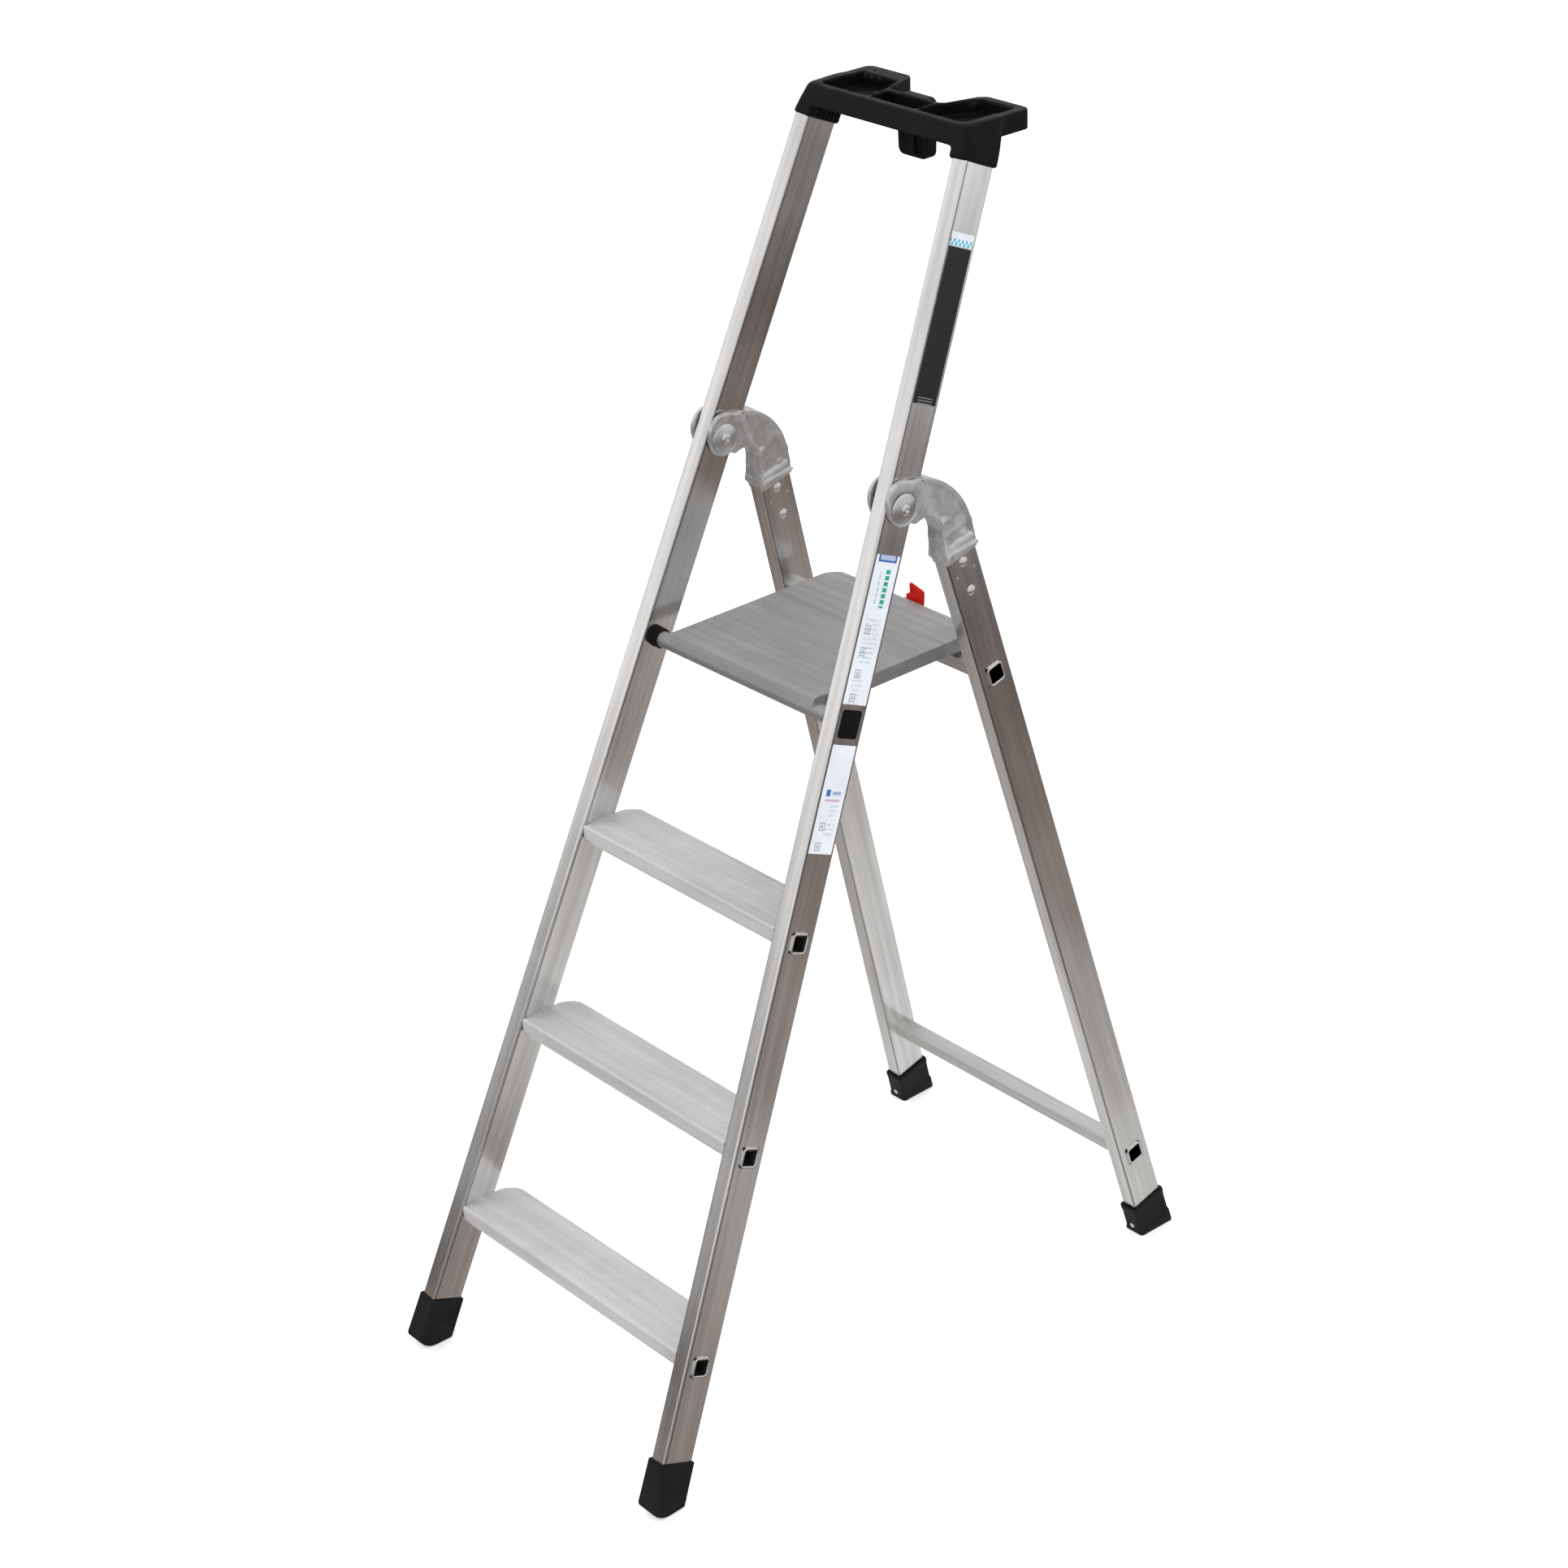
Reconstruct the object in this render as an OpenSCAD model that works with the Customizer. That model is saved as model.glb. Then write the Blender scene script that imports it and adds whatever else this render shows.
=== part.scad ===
// Folding platform step ladder.
// Two splayed front stiles carry three treads, a tilting platform and a moulded tool tray.
// A rear frame hangs from them on cast hinge knuckles and swings in to fold.
// +X is to the user's right, +Y is to the back, +Z is up; the origin is the middle of the
// footprint on the floor.

/* [Frame] */
// Lean of the front stiles from the vertical
stile_lean = 23; // [22.5:0.25:23.5]
// Lean of the rear legs from the vertical
leg_lean = 15.25; // [14.75:0.25:15.75]
// Inward splay of the stiles and legs on each side
splay = 3.6; // [3.4:0.1:3.8]
// Half distance between the hinge bolts
hinge_x = 155.5; // [154.5:0.5:158]
// Height of the hinge bolts
hinge_z = 1127.5; // [1120:0.5:1135]
// Distance of the rear legs behind the hinge bolts, square to the legs
leg_offset = 63.9; // [63:0.1:65]
// Height where the stiles stop inside the tool tray
stile_end_z = 1494; // [1492:0.5:1495]

/* [Extrusions] */
// Width of stiles and legs across the ladder
side_w = 22; // [21.5:0.5:22.5]
// Depth of the front stiles
stile_d = 47; // [46:0.5:48]
// Depth of the rear legs
leg_d = 48.6; // [47.6:0.2:49.6]
// Wall of stiles, legs and crossbars
wall = 1.6; // [1.4:0.1:2]
// Outside corner radius of stiles and legs
side_r = 2.5; // [2.5:0.5:4]

/* [Treads] */
// Height of the lowest tread above the floor
tread_z = 192.5; // [190:0.5:195]
// Spacing of the treads
tread_pitch = 240; // [238:0.5:242]
// Front to back depth of a tread
tread_depth = 80; // [76:1:84]
// Height of the front and back lips of a tread
tread_lip = 20; // [16:1:22]
// Side of the square tube under each tread and of both crossbars
bar = 20; // [19:0.5:20.5]
// Drop of the square tube below the tread surface
bar_drop = 19.4; // [18.5:0.1:20.5]

/* [Platform] */
// Height of the platform surface
platform_z = 910; // [908:0.5:914]
// Half width of the platform
platform_hw = 128; // [122:1:128]
// Back edge of the platform behind the platform pivot
platform_reach = 263; // [258:1:266]
// Depth of the platform pivot below the surface
pivot_drop = 17; // [16:0.5:18]
// Radius of the platform nose tube
nose_r = 10; // [9.5:0.25:10.5]

/* [Rear frame] */
// Height of the upper crossbar under the platform
crossbar_z = 879.5; // [877:0.5:880]
// Height of the lower brace
brace_z = 130.5; // [120:0.5:150]
// Leg tube ends this far below the hinge bolts, along the leg
leg_stop = 101; // [98:1:104]

/* [Tool tray] */
// Height of the tray rim
rim_z = 1531; // [1530:0.5:1534]
// Half width of the tray at the rim
rim_hw = 133; // [130:1:134]
// Height of the tray walls
tray_h = 24; // [22:1:26]
// Depth of the tray pockets
pocket_depth = 17; // [14:1:18]

/* [Catch] */
// Sideways position of the catch
catch_x = 10; // [0:1:20]
// Width of the catch tab
catch_w = 25; // [22:1:26]
// Swing of the catch from released to hooked
catch_swing = 20; // [18:1:22]

/* [Hidden] */
$fn = 48;
eps = 0.01;
gap = 0.1;
running = 0.05;
wide = 900;

tan_s = tan(splay);
hinge_y = hinge_z * tan(stile_lean);
hinge_s = hinge_z / cos(stile_lean);
stile_foot_x = hinge_x + hinge_s * tan_s;
leg_foot_y = hinge_y + (leg_offset + hinge_z * sin(leg_lean)) / cos(leg_lean);
leg_hinge_s = hinge_z * cos(leg_lean) + (leg_foot_y - hinge_y) * sin(leg_lean);
leg_foot_x = hinge_x + leg_hinge_s * tan_s;

boot_wall = 3.6;
sole_rise = 19;
sole_r = 28;
boot_half = stile_d / 2 + boot_wall;
front_y = sole_rise * tan(stile_lean) - boot_half / cos(stile_lean);
rear_y = leg_foot_y + (leg_d / 2 + boot_wall) / cos(leg_lean);
mid_y = (front_y + rear_y) / 2;

bar_in = bar - 2 * wall;
flare = 26;
flare_t = 1.8;
flare_in = 18.8;
pivot_z = platform_z - pivot_drop;
pivot_y = pivot_z * tan(stile_lean);
rod_r = 6;
bolt_r = 5;
washer_r = 18.5;
bush_r = 11.5;
nose_end = 150;
cheek_in = 12.9;
cheek_out = 18.5;
seat = 17.4;
rivet_s = [-115, -155];
deck_skin = 2.8;
hook_x = 84;
pin_r = 2.5;
pin_y = pivot_y + platform_reach + 8;
pin_z = platform_z - 14;
flange = platform_z - crossbar_z - bar / 2 * (cos(leg_lean) + sin(leg_lean)) - 0.3;
rim_y = rim_z * tan(stile_lean);
tray_wall = 3.2;

alu = [0.80, 0.80, 0.80];
plate = [0.66, 0.66, 0.66];
cast = [0.58, 0.58, 0.59];
black = [0.09, 0.09, 0.10];
red = [0.80, 0.10, 0.07];
white = [0.90, 0.92, 0.94];

// ---- frames and shared shapes ----

// Moves the build so that the footprint is centred on the origin.
module centred() {
    translate([0, -mid_y, 0]) children();
}

// Plane of the front frame: X across, Y square to the plane, Z up the slope.
module front_plane() {
    rotate([-stile_lean, 0, 0]) children();
}

// Plane of the rear frame.
module rear_plane() {
    translate([0, leg_foot_y, 0]) rotate([leg_lean, 0, 0]) children();
}

// Axis of the right stile, Z along it.
module stile_axis() {
    front_plane() translate([stile_foot_x, 0, 0]) rotate([0, -splay, 0]) children();
}

// Axis of the right leg, Z along it.
module leg_axis() {
    rear_plane() translate([leg_foot_x, 0, 0]) rotate([0, -splay, 0]) children();
}

// Right leg frame moved up to the hinge bolt.
module knuckle_axis() {
    leg_axis() translate([0, -leg_offset, leg_hinge_s / cos(splay)]) children();
}

module both_sides() {
    children();
    mirror([1, 0, 0]) children();
}

// A bar along X centred on x, y, z.
module x_rod(x, y, z, r, h) {
    translate([x, y, z]) rotate([0, 90, 0]) cylinder(r = r, h = h, center = true);
}

// A flat outline in Y and Z, made thick along X.
module x_slab(x, t) {
    translate([x - t / 2, 0, 0]) rotate([90, 0, 90]) linear_extrude(t) children();
}

module box(x0, x1, y0, y1) {
    translate([x0, y0]) square([x1 - x0, y1 - y0]);
}

module rounded(x0, x1, y0, y1, r) {
    box(x0 + r, x1 - r, y0, y1);
    box(x0, x1, y0 + r, y1 - r);
    for (x = [x0 + r, x1 - r]) for (y = [y0 + r, y1 - r]) translate([x, y]) circle(r);
}

// Region between the two sides of a frame, widened by off on each side.
module span(foot_x, off, top) {
    half = foot_x + off / cos(splay);
    in = top * tan_s;
    rotate([90, 0, 0]) linear_extrude(wide, center = true)
        polygon([[-half, 0], [half, 0], [half - in, top], [-half + in, top]]);
}

module between_stiles(off) {
    front_plane() span(stile_foot_x, off, hinge_s * 1.4);
}

module between_legs(off) {
    rear_plane() span(leg_foot_x, off, hinge_s);
}

// Hollow side extrusion; a grooved one has a fine groove beside its front corners.
module side_section(d, grooved) {
    groove_in = 3.6;
    groove_w = 0.8;
    groove_d = 0.5;
    difference() {
        rounded(-side_w / 2, side_w / 2, -d / 2, d / 2, side_r);
        rounded(-side_w / 2 + wall, side_w / 2 - wall, -d / 2 + wall, d / 2 - wall, side_r - wall);
        if (grooved) for (s = [-1, 1]) translate([s * side_w / 2, groove_in - d / 2])
            square([2 * groove_d, groove_w], center = true);
    }
}

// Square tube across a frame, turned to the lean of the frame.
module cross_tube(y, z, lean, size) {
    translate([0, y, z]) rotate([lean, 0, 0]) cube([wide, size, size], center = true);
}

// Swaged square collar on the outer face of the right side, and its mirror.
module flared_ends(s, leg) {
    module ring() {
        translate([side_w / 2 + gap / 2, 0, s / cos(splay)]) rotate([90, 0, 90])
            linear_extrude(flare_t) difference() {
                rounded(-flare / 2, flare / 2, -flare / 2, flare / 2, 4);
                rounded(-flare_in / 2, flare_in / 2, -flare_in / 2, flare_in / 2, 2);
            }
    }
    both_sides() if (leg) leg_axis() ring(); else stile_axis() ring();
}

// ---- front frame ----

module right_stile() {
    difference() {
        stile_axis() translate([0, 0, 20])
            linear_extrude(stile_end_z / cos(stile_lean) / cos(splay) - 20) side_section(stile_d, true);
        for (i = [0:2]) {
            z = tread_z + i * tread_pitch - bar_drop;
            cross_tube(z * tan(stile_lean), z, -stile_lean, bar + 2 * gap);
        }
        x_rod(hinge_x, hinge_y, hinge_z, bolt_r + running, 60);
        x_rod(hinge_x, pivot_y, pivot_z, rod_r + running, 90);
    }
}

module stile_right() {
    color(alu) centred() right_stile();
}

module stile_left() {
    color(alu) centred() mirror([1, 0, 0]) right_stile();
}

// Profile of a tread from its front top edge: ribbed top, two lips with folded-in feet.
module tread_profile() {
    rib = 3.3;
    rib_h = 0.5;
    skin = 2.6;
    difference() {
        rounded(0, tread_depth, -tread_lip, 0, 3.5);
        rounded(skin, tread_depth - skin, -tread_lip + skin, -skin - rib_h, 2);
        box(8, tread_depth - 8, -tread_lip - 1, -tread_lip + skin + 1);
        for (y = [5:rib:tread_depth - 5]) box(y, y + rib / 2, -rib_h, 1);
    }
}

module tread(i) {
    top = tread_z + i * tread_pitch;
    front = top * tan(stile_lean) - stile_d / 2 / cos(stile_lean);
    z = top - bar_drop;
    y = z * tan(stile_lean);
    half = stile_foot_x - top * tan_s / cos(stile_lean) - side_w / 2;
    corner = 30;
    color(plate) centred() {
        difference() {
            union() {
                intersection() {
                    translate([0, front, top]) x_slab(0, wide) tread_profile();
                    between_stiles(-side_w / 2 - gap);
                    translate([0, front, top - wide / 2]) linear_extrude(wide)
                        rounded(-half, half, -corner * 2, tread_depth, corner);
                }
                intersection() {
                    cross_tube(y, z, -stile_lean, bar);
                    between_stiles(side_w / 2 + gap);
                }
                flared_ends(z / cos(stile_lean), false);
            }
            cross_tube(y, z, -stile_lean, bar_in);
        }
    }
}

module tread_1() {
    tread(0);
}

module tread_2() {
    tread(1);
}

module tread_3() {
    tread(2);
}

// Outline of the tray seen from above, Y measured from the stile centreline at the rim.
module tray_bar() {
    box(-rim_hw, rim_hw, -60, 18);
}

// The two ears behind the bar.
module tray_ears() {
    for (s = [-1, 1]) scale([s, 1]) {
        rounded(62, rim_hw, -7, 72, 9);
        polygon([[42, 12], [66, 12], [66, 70], [58, 65]]);
    }
}

module tray_pockets() {
    rounded(-38, 38, -18, 12, 4);
    for (s = [-1, 1]) scale([s, 1]) {
        rounded(66, rim_hw - 14, -18, 59, 4);
        rounded(42, rim_hw - 14, -18, 12, 4);
        polygon([[44, 8], [70, 8], [70, 57], [63, 53]]);
    }
}

// Outer limits of the tray: level rim, sloping ends and a front wall in line with the stiles.
module tray_envelope() {
    drop = 100;
    slope = 0.4;
    intersection() {
        translate([0, rim_y, 0]) rotate([90, 0, 0]) linear_extrude(wide, center = true)
            polygon([[-rim_hw, rim_z], [rim_hw, rim_z], [rim_hw + drop * slope, rim_z - drop],
                [-rim_hw - drop * slope, rim_z - drop]]);
        front_plane() translate([-wide / 2, -stile_d / 2 - tray_wall, 0]) cube([wide, wide, wide * 2]);
    }
}

module tray_lug() {
    lug_hw = 25;
    lug_z = rim_z - 76;
    difference() {
        translate([0, rim_y + 28, 0]) rotate([90, 0, 0]) linear_extrude(16)
            rounded(-lug_hw, lug_hw, lug_z, rim_z - 10, 9);
        for (x = [-14, 0, 14]) translate([x - 4, rim_y + 11, lug_z + 8]) cube([8, 6, 30]);
    }
}

module tool_tray() {
    socket_s = (rim_z - 45) / cos(stile_lean) / cos(splay);
    plug = 40;
    socket_w = side_w / 2 + tray_wall + 0.6;
    socket_d = stile_d / 2 + tray_wall;
    plug_w = side_w / 2 - wall - 0.15;
    plug_d = stile_d / 2 - wall - 0.15;
    end_s = stile_end_z / cos(stile_lean) / cos(splay);
    color(black) centred() {
        difference() {
            union() {
                intersection() {
                    union() {
                        translate([0, rim_y, rim_z - tray_h]) linear_extrude(tray_h) tray_bar();
                        both_sides() stile_axis() translate([0, 0, socket_s]) linear_extrude(90)
                            rounded(-socket_w, socket_w, -socket_d, socket_d, 4);
                        tray_lug();
                    }
                    tray_envelope();
                }
                translate([0, rim_y, rim_z - tray_h]) linear_extrude(tray_h) tray_ears();
            }
            translate([0, rim_y, rim_z - pocket_depth]) linear_extrude(50) tray_pockets();
            both_sides() stile_axis() translate([0, 0, socket_s - 5])
                linear_extrude(end_s - socket_s + 5 + gap) rounded(-side_w / 2 - gap,
                    side_w / 2 + gap, -stile_d / 2 - gap, stile_d / 2 + gap, side_r);
            translate([0, rim_y, rim_z - tray_h - 1]) linear_extrude(tray_h - pocket_depth - 2)
                for (s = [-1, 1]) scale([s, 1]) rounded(40, 100, -12, 20, 4);
        }
        both_sides() difference() {
            stile_axis() translate([0, 0, end_s - plug]) linear_extrude(plug + 1)
                rounded(-plug_w, plug_w, -plug_d, plug_d, side_r - wall);
            stile_axis() translate([0, 0, end_s - plug - 1]) linear_extrude(plug - 1)
                rounded(-plug_w + 3, plug_w - 3, -plug_d + 3, plug_d - 3, 2);
        }
    }
}

module tray_screws() {
    screw_s = (stile_end_z - 30) / cos(stile_lean) / cos(splay);
    color(cast) centred() both_sides() stile_axis() translate([0, stile_d / 2 + gap, screw_s])
        rotate([-90, 0, 0]) difference() {
            cylinder(r = 4, h = 2.4);
            translate([0, 0, 1.2]) cylinder(r = 1.8, h = 3, $fn = 6);
        }
}

module right_front_foot() {
    half_w = side_w / 2 + boot_wall + 0.3;
    arc_y = front_y + sqrt(sole_r * sole_r - (sole_r - sole_rise) * (sole_r - sole_rise));
    difference() {
        intersection() {
            stile_axis() translate([0, 0, -50]) linear_extrude(117)
                rounded(-half_w, half_w, -boot_half, boot_half, 4);
            x_slab(stile_foot_x, 80) union() {
                translate([arc_y, sole_r]) circle(sole_r, $fn = 96);
                box(arc_y, 200, 0, 200);
                box(-200, 200, sole_r, 200);
            }
        }
        stile_axis() translate([0, 0, 20 - gap]) linear_extrude(100)
            rounded(-side_w / 2 - gap, side_w / 2 + gap, -stile_d / 2 - gap, stile_d / 2 + gap, side_r);
    }
}

module front_foot_right() {
    color(black) centred() right_front_foot();
}

module front_foot_left() {
    color(black) centred() mirror([1, 0, 0]) right_front_foot();
}

module platform_pivot_rod() {
    color(alu) centred() intersection() {
        x_rod(0, pivot_y, pivot_z, rod_r, wide);
        between_stiles(side_w / 2 - 0.2);
    }
}

module right_bush() {
    difference() {
        intersection() {
            union() {
                x_rod(nose_end + 0.3 + 15, pivot_y, pivot_z, bush_r, 30);
                x_rod(nose_end + 0.3 + 3, pivot_y, pivot_z, bush_r + 1, 4);
            }
            between_stiles(-side_w / 2 - gap);
        }
        x_rod(nose_end, pivot_y, pivot_z, rod_r + running, 90);
    }
}

module pivot_bush_right() {
    color(black) centred() right_bush();
}

module pivot_bush_left() {
    color(black) centred() mirror([1, 0, 0]) right_bush();
}

module right_cap() {
    stile_axis() translate([side_w / 2 + gap, 0, pivot_z / cos(stile_lean) / cos(splay)])
        rotate([90, 0, 90]) {
            linear_extrude(2.2) rounded(-15, 15, -17, 17, 4);
            linear_extrude(3.4) rounded(-12.5, 12.5, -14.5, 14.5, 3);
        }
}

module pivot_cap_right() {
    color(black) centred() right_cap();
}

module pivot_cap_left() {
    color(black) centred() mirror([1, 0, 0]) right_cap();
}

// Hinge bolts with a socket head on the outer end and a domed cap nut on the inner end.
module hinge_bolts() {
    end_x = seat + 0.2 + 2.4;
    head_r = 6.5;
    color(cast) centred() both_sides() difference() {
        union() {
            x_rod(hinge_x, hinge_y, hinge_z, bolt_r, 2 * end_x);
            for (s = [-1, 1])
                x_rod(hinge_x + s * (end_x + 1.75 - eps), hinge_y, hinge_z, head_r, 3.5);
        }
        for (s = [-1, 1]) translate([hinge_x + s * (end_x + 3.5), hinge_y, hinge_z])
            rotate([0, 90, 0]) cylinder(r = 3.2, h = 4, center = true, $fn = 6);
    }
}

// Dished washers under both ends of the hinge bolts.
module hinge_washers() {
    color(alu) centred() both_sides() for (s = [-1, 1])
        translate([hinge_x + s * (seat + 0.2), hinge_y, hinge_z]) rotate([0, s * 90, 0])
            rotate_extrude() polygon([[bolt_r + running, 0], [washer_r, 0], [washer_r, 0.7],
                [washer_r - 5, 2], [bolt_r + running, 2.4 - gap / 2]]);
}

// Plastic spacers between the stiles and the hinge cheeks.
module hinge_spacers() {
    color(black) centred() both_sides() difference() {
        x_rod(hinge_x, hinge_y, hinge_z, 9.5, 24.2);
        x_rod(hinge_x, hinge_y, hinge_z, bolt_r + running, 40);
        stile_axis() translate([0, 0, hinge_s])
            cube([side_w + gap, 80, 80], center = true);
    }
}

module stile_label(z0, z1, t, half) {
    k = cos(stile_lean) * cos(splay);
    stile_axis() translate([side_w / 2 + gap / 2, 0, z0 / k]) rotate([90, 0, 90])
        linear_extrude(t) box(-half, half, 0, (z1 - z0) / k);
}

module strip_label() {
    color(black) centred() stile_label(1236, 1400, 0.3, 18.5);
}

module strip_band() {
    color(white) centred() stile_label(1401, 1415, 0.3, 18.5);
}

module info_labels() {
    color(white) centred() {
        stile_label(pivot_z + 22, 1076, 0.3, 19);
        stile_label(752, pivot_z - 22, 0.3, 19);
    }
}

// ---- rear frame ----

module right_leg() {
    difference() {
        leg_axis() translate([0, 0, 12]) linear_extrude((leg_hinge_s - leg_stop) / cos(splay) - 12)
            side_section(leg_d, false);
        for (z = [brace_z, crossbar_z])
            cross_tube(leg_foot_y - z * tan(leg_lean), z, leg_lean, bar + 2 * gap);
        rivet_shanks(4 + running, 60);
        pin_shanks(2 + running, 60);
    }
}

module rear_leg_right() {
    color(alu) centred() right_leg();
}

module rear_leg_left() {
    color(alu) centred() mirror([1, 0, 0]) right_leg();
}

// Shanks of the two rivets through the right knuckle tongue.
module rivet_shanks(r, h) {
    knuckle_axis() for (s = rivet_s) translate([0, leg_offset, s]) rotate([0, 90, 0])
        cylinder(r = r, h = h, center = true);
}

// Small pins beside them.
module pin_shanks(r, h) {
    knuckle_axis() for (s = [-1, 1]) translate([0, leg_offset + s * 14, -130]) rotate([0, 90, 0])
        cylinder(r = r, h = h, center = true);
}

// Side outline of the cast knuckle about the hinge bolt: cheek, arch and collar.
module knuckle_outline(inset) {
    arch_r = 94;
    hollow_r = 29;
    back = leg_offset + leg_d / 2 + 3;
    difference() {
        union() {
            translate([2, 0]) circle(23 - inset);
            translate([2, 9]) circle(23 - inset);
            intersection() {
                translate([back - arch_r, -68]) circle(arch_r - inset, $fn = 120);
                box(8, back, -70, 60);
            }
            box(30, back - inset, -leg_stop, -68);
        }
        translate([17.5, -56.5]) circle(hollow_r + inset, $fn = 72);
        polygon([[46 + inset, -57], [10, -29.5 + inset], [-80, -25 + inset], [-80, -140],
            [42 + inset, -140], [44 + inset, -78]]);
    }
}

// Room the stile sweeps through as the hinge closes.
module stile_sweep() {
    clear = stile_d / 2 + 2;
    fold = stile_lean + leg_lean;
    linear_extrude(2 * cheek_in, center = true) {
        circle(clear, $fn = 96);
        box(-80, clear, -80, 0);
        rotate(-fold) box(-80, clear, 0, 80);
        box(-80, 0, -80, 80);
    }
}

module right_knuckle() {
    body_half = 13;
    collar_half = 12.6;
    sleeve = 6.5;
    tongue = 78;
    tongue_w = side_w / 2 - wall - 0.15;
    tongue_d = leg_d / 2 - wall - 0.15;
    difference() {
        knuckle_axis() {
            difference() {
                union() {
                    x_slab(0, 2 * body_half) difference() {
                        knuckle_outline(0);
                        box(0, 200, -200, -94);
                    }
                    x_slab(0, 2 * cheek_out) intersection() {
                        knuckle_outline(0);
                        box(-60, 34, -60, 60);
                    }
                    translate([0, leg_offset, -leg_stop + 0.2]) linear_extrude(8)
                        rounded(-collar_half, collar_half, -leg_d / 2 - 1.2, leg_d / 2 + 3, side_r);
                    translate([0, leg_offset, -leg_stop - sleeve]) linear_extrude(sleeve + 1)
                        difference() {
                            rounded(-collar_half + 0.4, collar_half - 0.4, -leg_d / 2 - 1,
                                leg_d / 2 + 1.6, side_r);
                            rounded(-side_w / 2 - gap, side_w / 2 + gap, -leg_d / 2 - gap,
                                leg_d / 2 + gap, side_r);
                        }
                }
                rotate([90, 0, 90]) stile_sweep();
                for (s = [-1, 1]) x_slab(s * (body_half + 2), 10) intersection() {
                    knuckle_outline(5);
                    box(41, 200, -82, 60);
                }
            }
            translate([0, leg_offset, -leg_stop - tongue]) linear_extrude(tongue + 10)
                rounded(-tongue_w, tongue_w, -tongue_d, tongue_d, side_r - wall);
        }
        x_rod(hinge_x, hinge_y, hinge_z, bolt_r + running, 60);
        for (s = [-1, 1]) x_rod(hinge_x + s * (seat + 5), hinge_y, hinge_z, washer_r + 0.5, 10);
        rivet_shanks(4 + running, 60);
        pin_shanks(2 + running, 60);
    }
}

module knuckle_right() {
    color(cast) centred() right_knuckle();
}

module knuckle_left() {
    color(cast) centred() mirror([1, 0, 0]) right_knuckle();
}

// Domed rivets through leg and tongue.
module knuckle_rivets() {
    face = side_w / 2 + gap / 2;
    color(alu) centred() both_sides() {
        rivet_shanks(4, 2 * face + eps);
        knuckle_axis() for (s = rivet_s) for (e = [-1, 1])
            translate([e * face, leg_offset, s]) rotate([0, e * 90, 0]) intersection() {
                translate([0, 0, -4.4]) sphere(8, $fn = 48);
                cylinder(r = 8, h = 9);
            }
    }
}

module knuckle_pins() {
    color(alu) centred() both_sides() pin_shanks(2, side_w + 1);
}

module cross_member(z) {
    y = leg_foot_y - z * tan(leg_lean);
    color(alu) centred() difference() {
        union() {
            intersection() {
                cross_tube(y, z, leg_lean, bar);
                between_legs(side_w / 2 + gap);
            }
            flared_ends(z / cos(leg_lean), true);
        }
        cross_tube(y, z, leg_lean, bar_in);
    }
}

module upper_crossbar() {
    cross_member(crossbar_z);
}

module lower_brace() {
    cross_member(brace_z);
}

module right_rear_foot() {
    half_w = side_w / 2 + boot_wall - 0.1;
    half_d = leg_d / 2 + boot_wall;
    difference() {
        intersection() {
            leg_axis() translate([0, 0, -40]) linear_extrude(92)
                rounded(-half_w, half_w, -half_d, half_d, 4);
            translate([0, leg_foot_y - 100, 0]) cube([400, 200, 100]);
        }
        leg_axis() translate([0, 0, 12 - gap]) linear_extrude(100)
            rounded(-side_w / 2 - gap, side_w / 2 + gap, -leg_d / 2 - gap, leg_d / 2 + gap, side_r);
        peg(running);
    }
}

// Peg through the front wall of the right rear boot.
module peg(grow) {
    leg_axis() translate([0, -leg_d / 2 - boot_wall, 20]) rotate([-90, 0, 0])
        cylinder(r = 2.5 + grow, h = boot_wall - gap);
}

module rear_foot_right() {
    color(black) centred() right_rear_foot();
}

module rear_foot_left() {
    color(black) centred() mirror([1, 0, 0]) right_rear_foot();
}

module foot_pegs() {
    color(alu) centred() both_sides() {
        peg(0);
        leg_axis() translate([0, -leg_d / 2 - boot_wall - gap / 2, 20]) rotate([90, 0, 0])
            cylinder(r1 = 4, r2 = 3, h = 1);
    }
}

// ---- platform and catch ----

// Platform profile about the pivot: nose tube, ribbed top and back flange.
module deck_profile() {
    rib = 3.3;
    rib_h = 0.25;
    skin = deck_skin;
    lip_r = 2.5;
    lip = [-2, pivot_drop - lip_r];
    tangent = atan2(lip[1], lip[0]) + acos((nose_r - lip_r) / norm(lip));
    side = [cos(tangent), sin(tangent)];
    difference() {
        union() {
            circle(nose_r);
            rounded(lip[0] - lip_r, platform_reach, pivot_drop - 12, pivot_drop, lip_r);
            polygon([side * nose_r, lip + side * lip_r, [nose_r, lip[1]], [nose_r, 0], [0, 0]]);
            box(0, platform_reach, pivot_drop - flange, pivot_drop - 6);
        }
        box(nose_r + 2, platform_reach - skin, -50, pivot_drop - skin - rib_h);
        for (y = [6:rib:platform_reach - 8]) box(y, y + rib / 2, pivot_drop - rib_h, 50);
    }
}

module platform_deck() {
    corner = 25;
    skin = deck_skin;
    color(plate) centred() translate([0, pivot_y, pivot_z]) difference() {
        union() {
            intersection() {
                x_slab(0, 2 * platform_hw) deck_profile();
                translate([0, 0, -50]) linear_extrude(100)
                    rounded(-platform_hw, platform_hw, -60, platform_reach, corner);
            }
            difference() {
                translate([0, 0, pivot_drop - flange]) linear_extrude(flange - 1) difference() {
                    rounded(-platform_hw, platform_hw, 0, platform_reach, corner);
                    rounded(-platform_hw + skin, platform_hw - skin, skin, platform_reach - skin,
                        corner - skin);
                }
                translate([-wide / 2, -50, -50]) cube([wide, 50 + nose_r, 100]);
            }
            for (y = [90, 170]) translate([-platform_hw + 1, y, pivot_drop - 12])
                cube([2 * platform_hw - 2, skin, 10]);
            x_rod(0, 0, 0, nose_r, 2 * nose_end);
        }
        x_rod(0, 0, 0, rod_r + running, wide);
        both_sides() hook_rivets(2.4 + running);
    }
}

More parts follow.
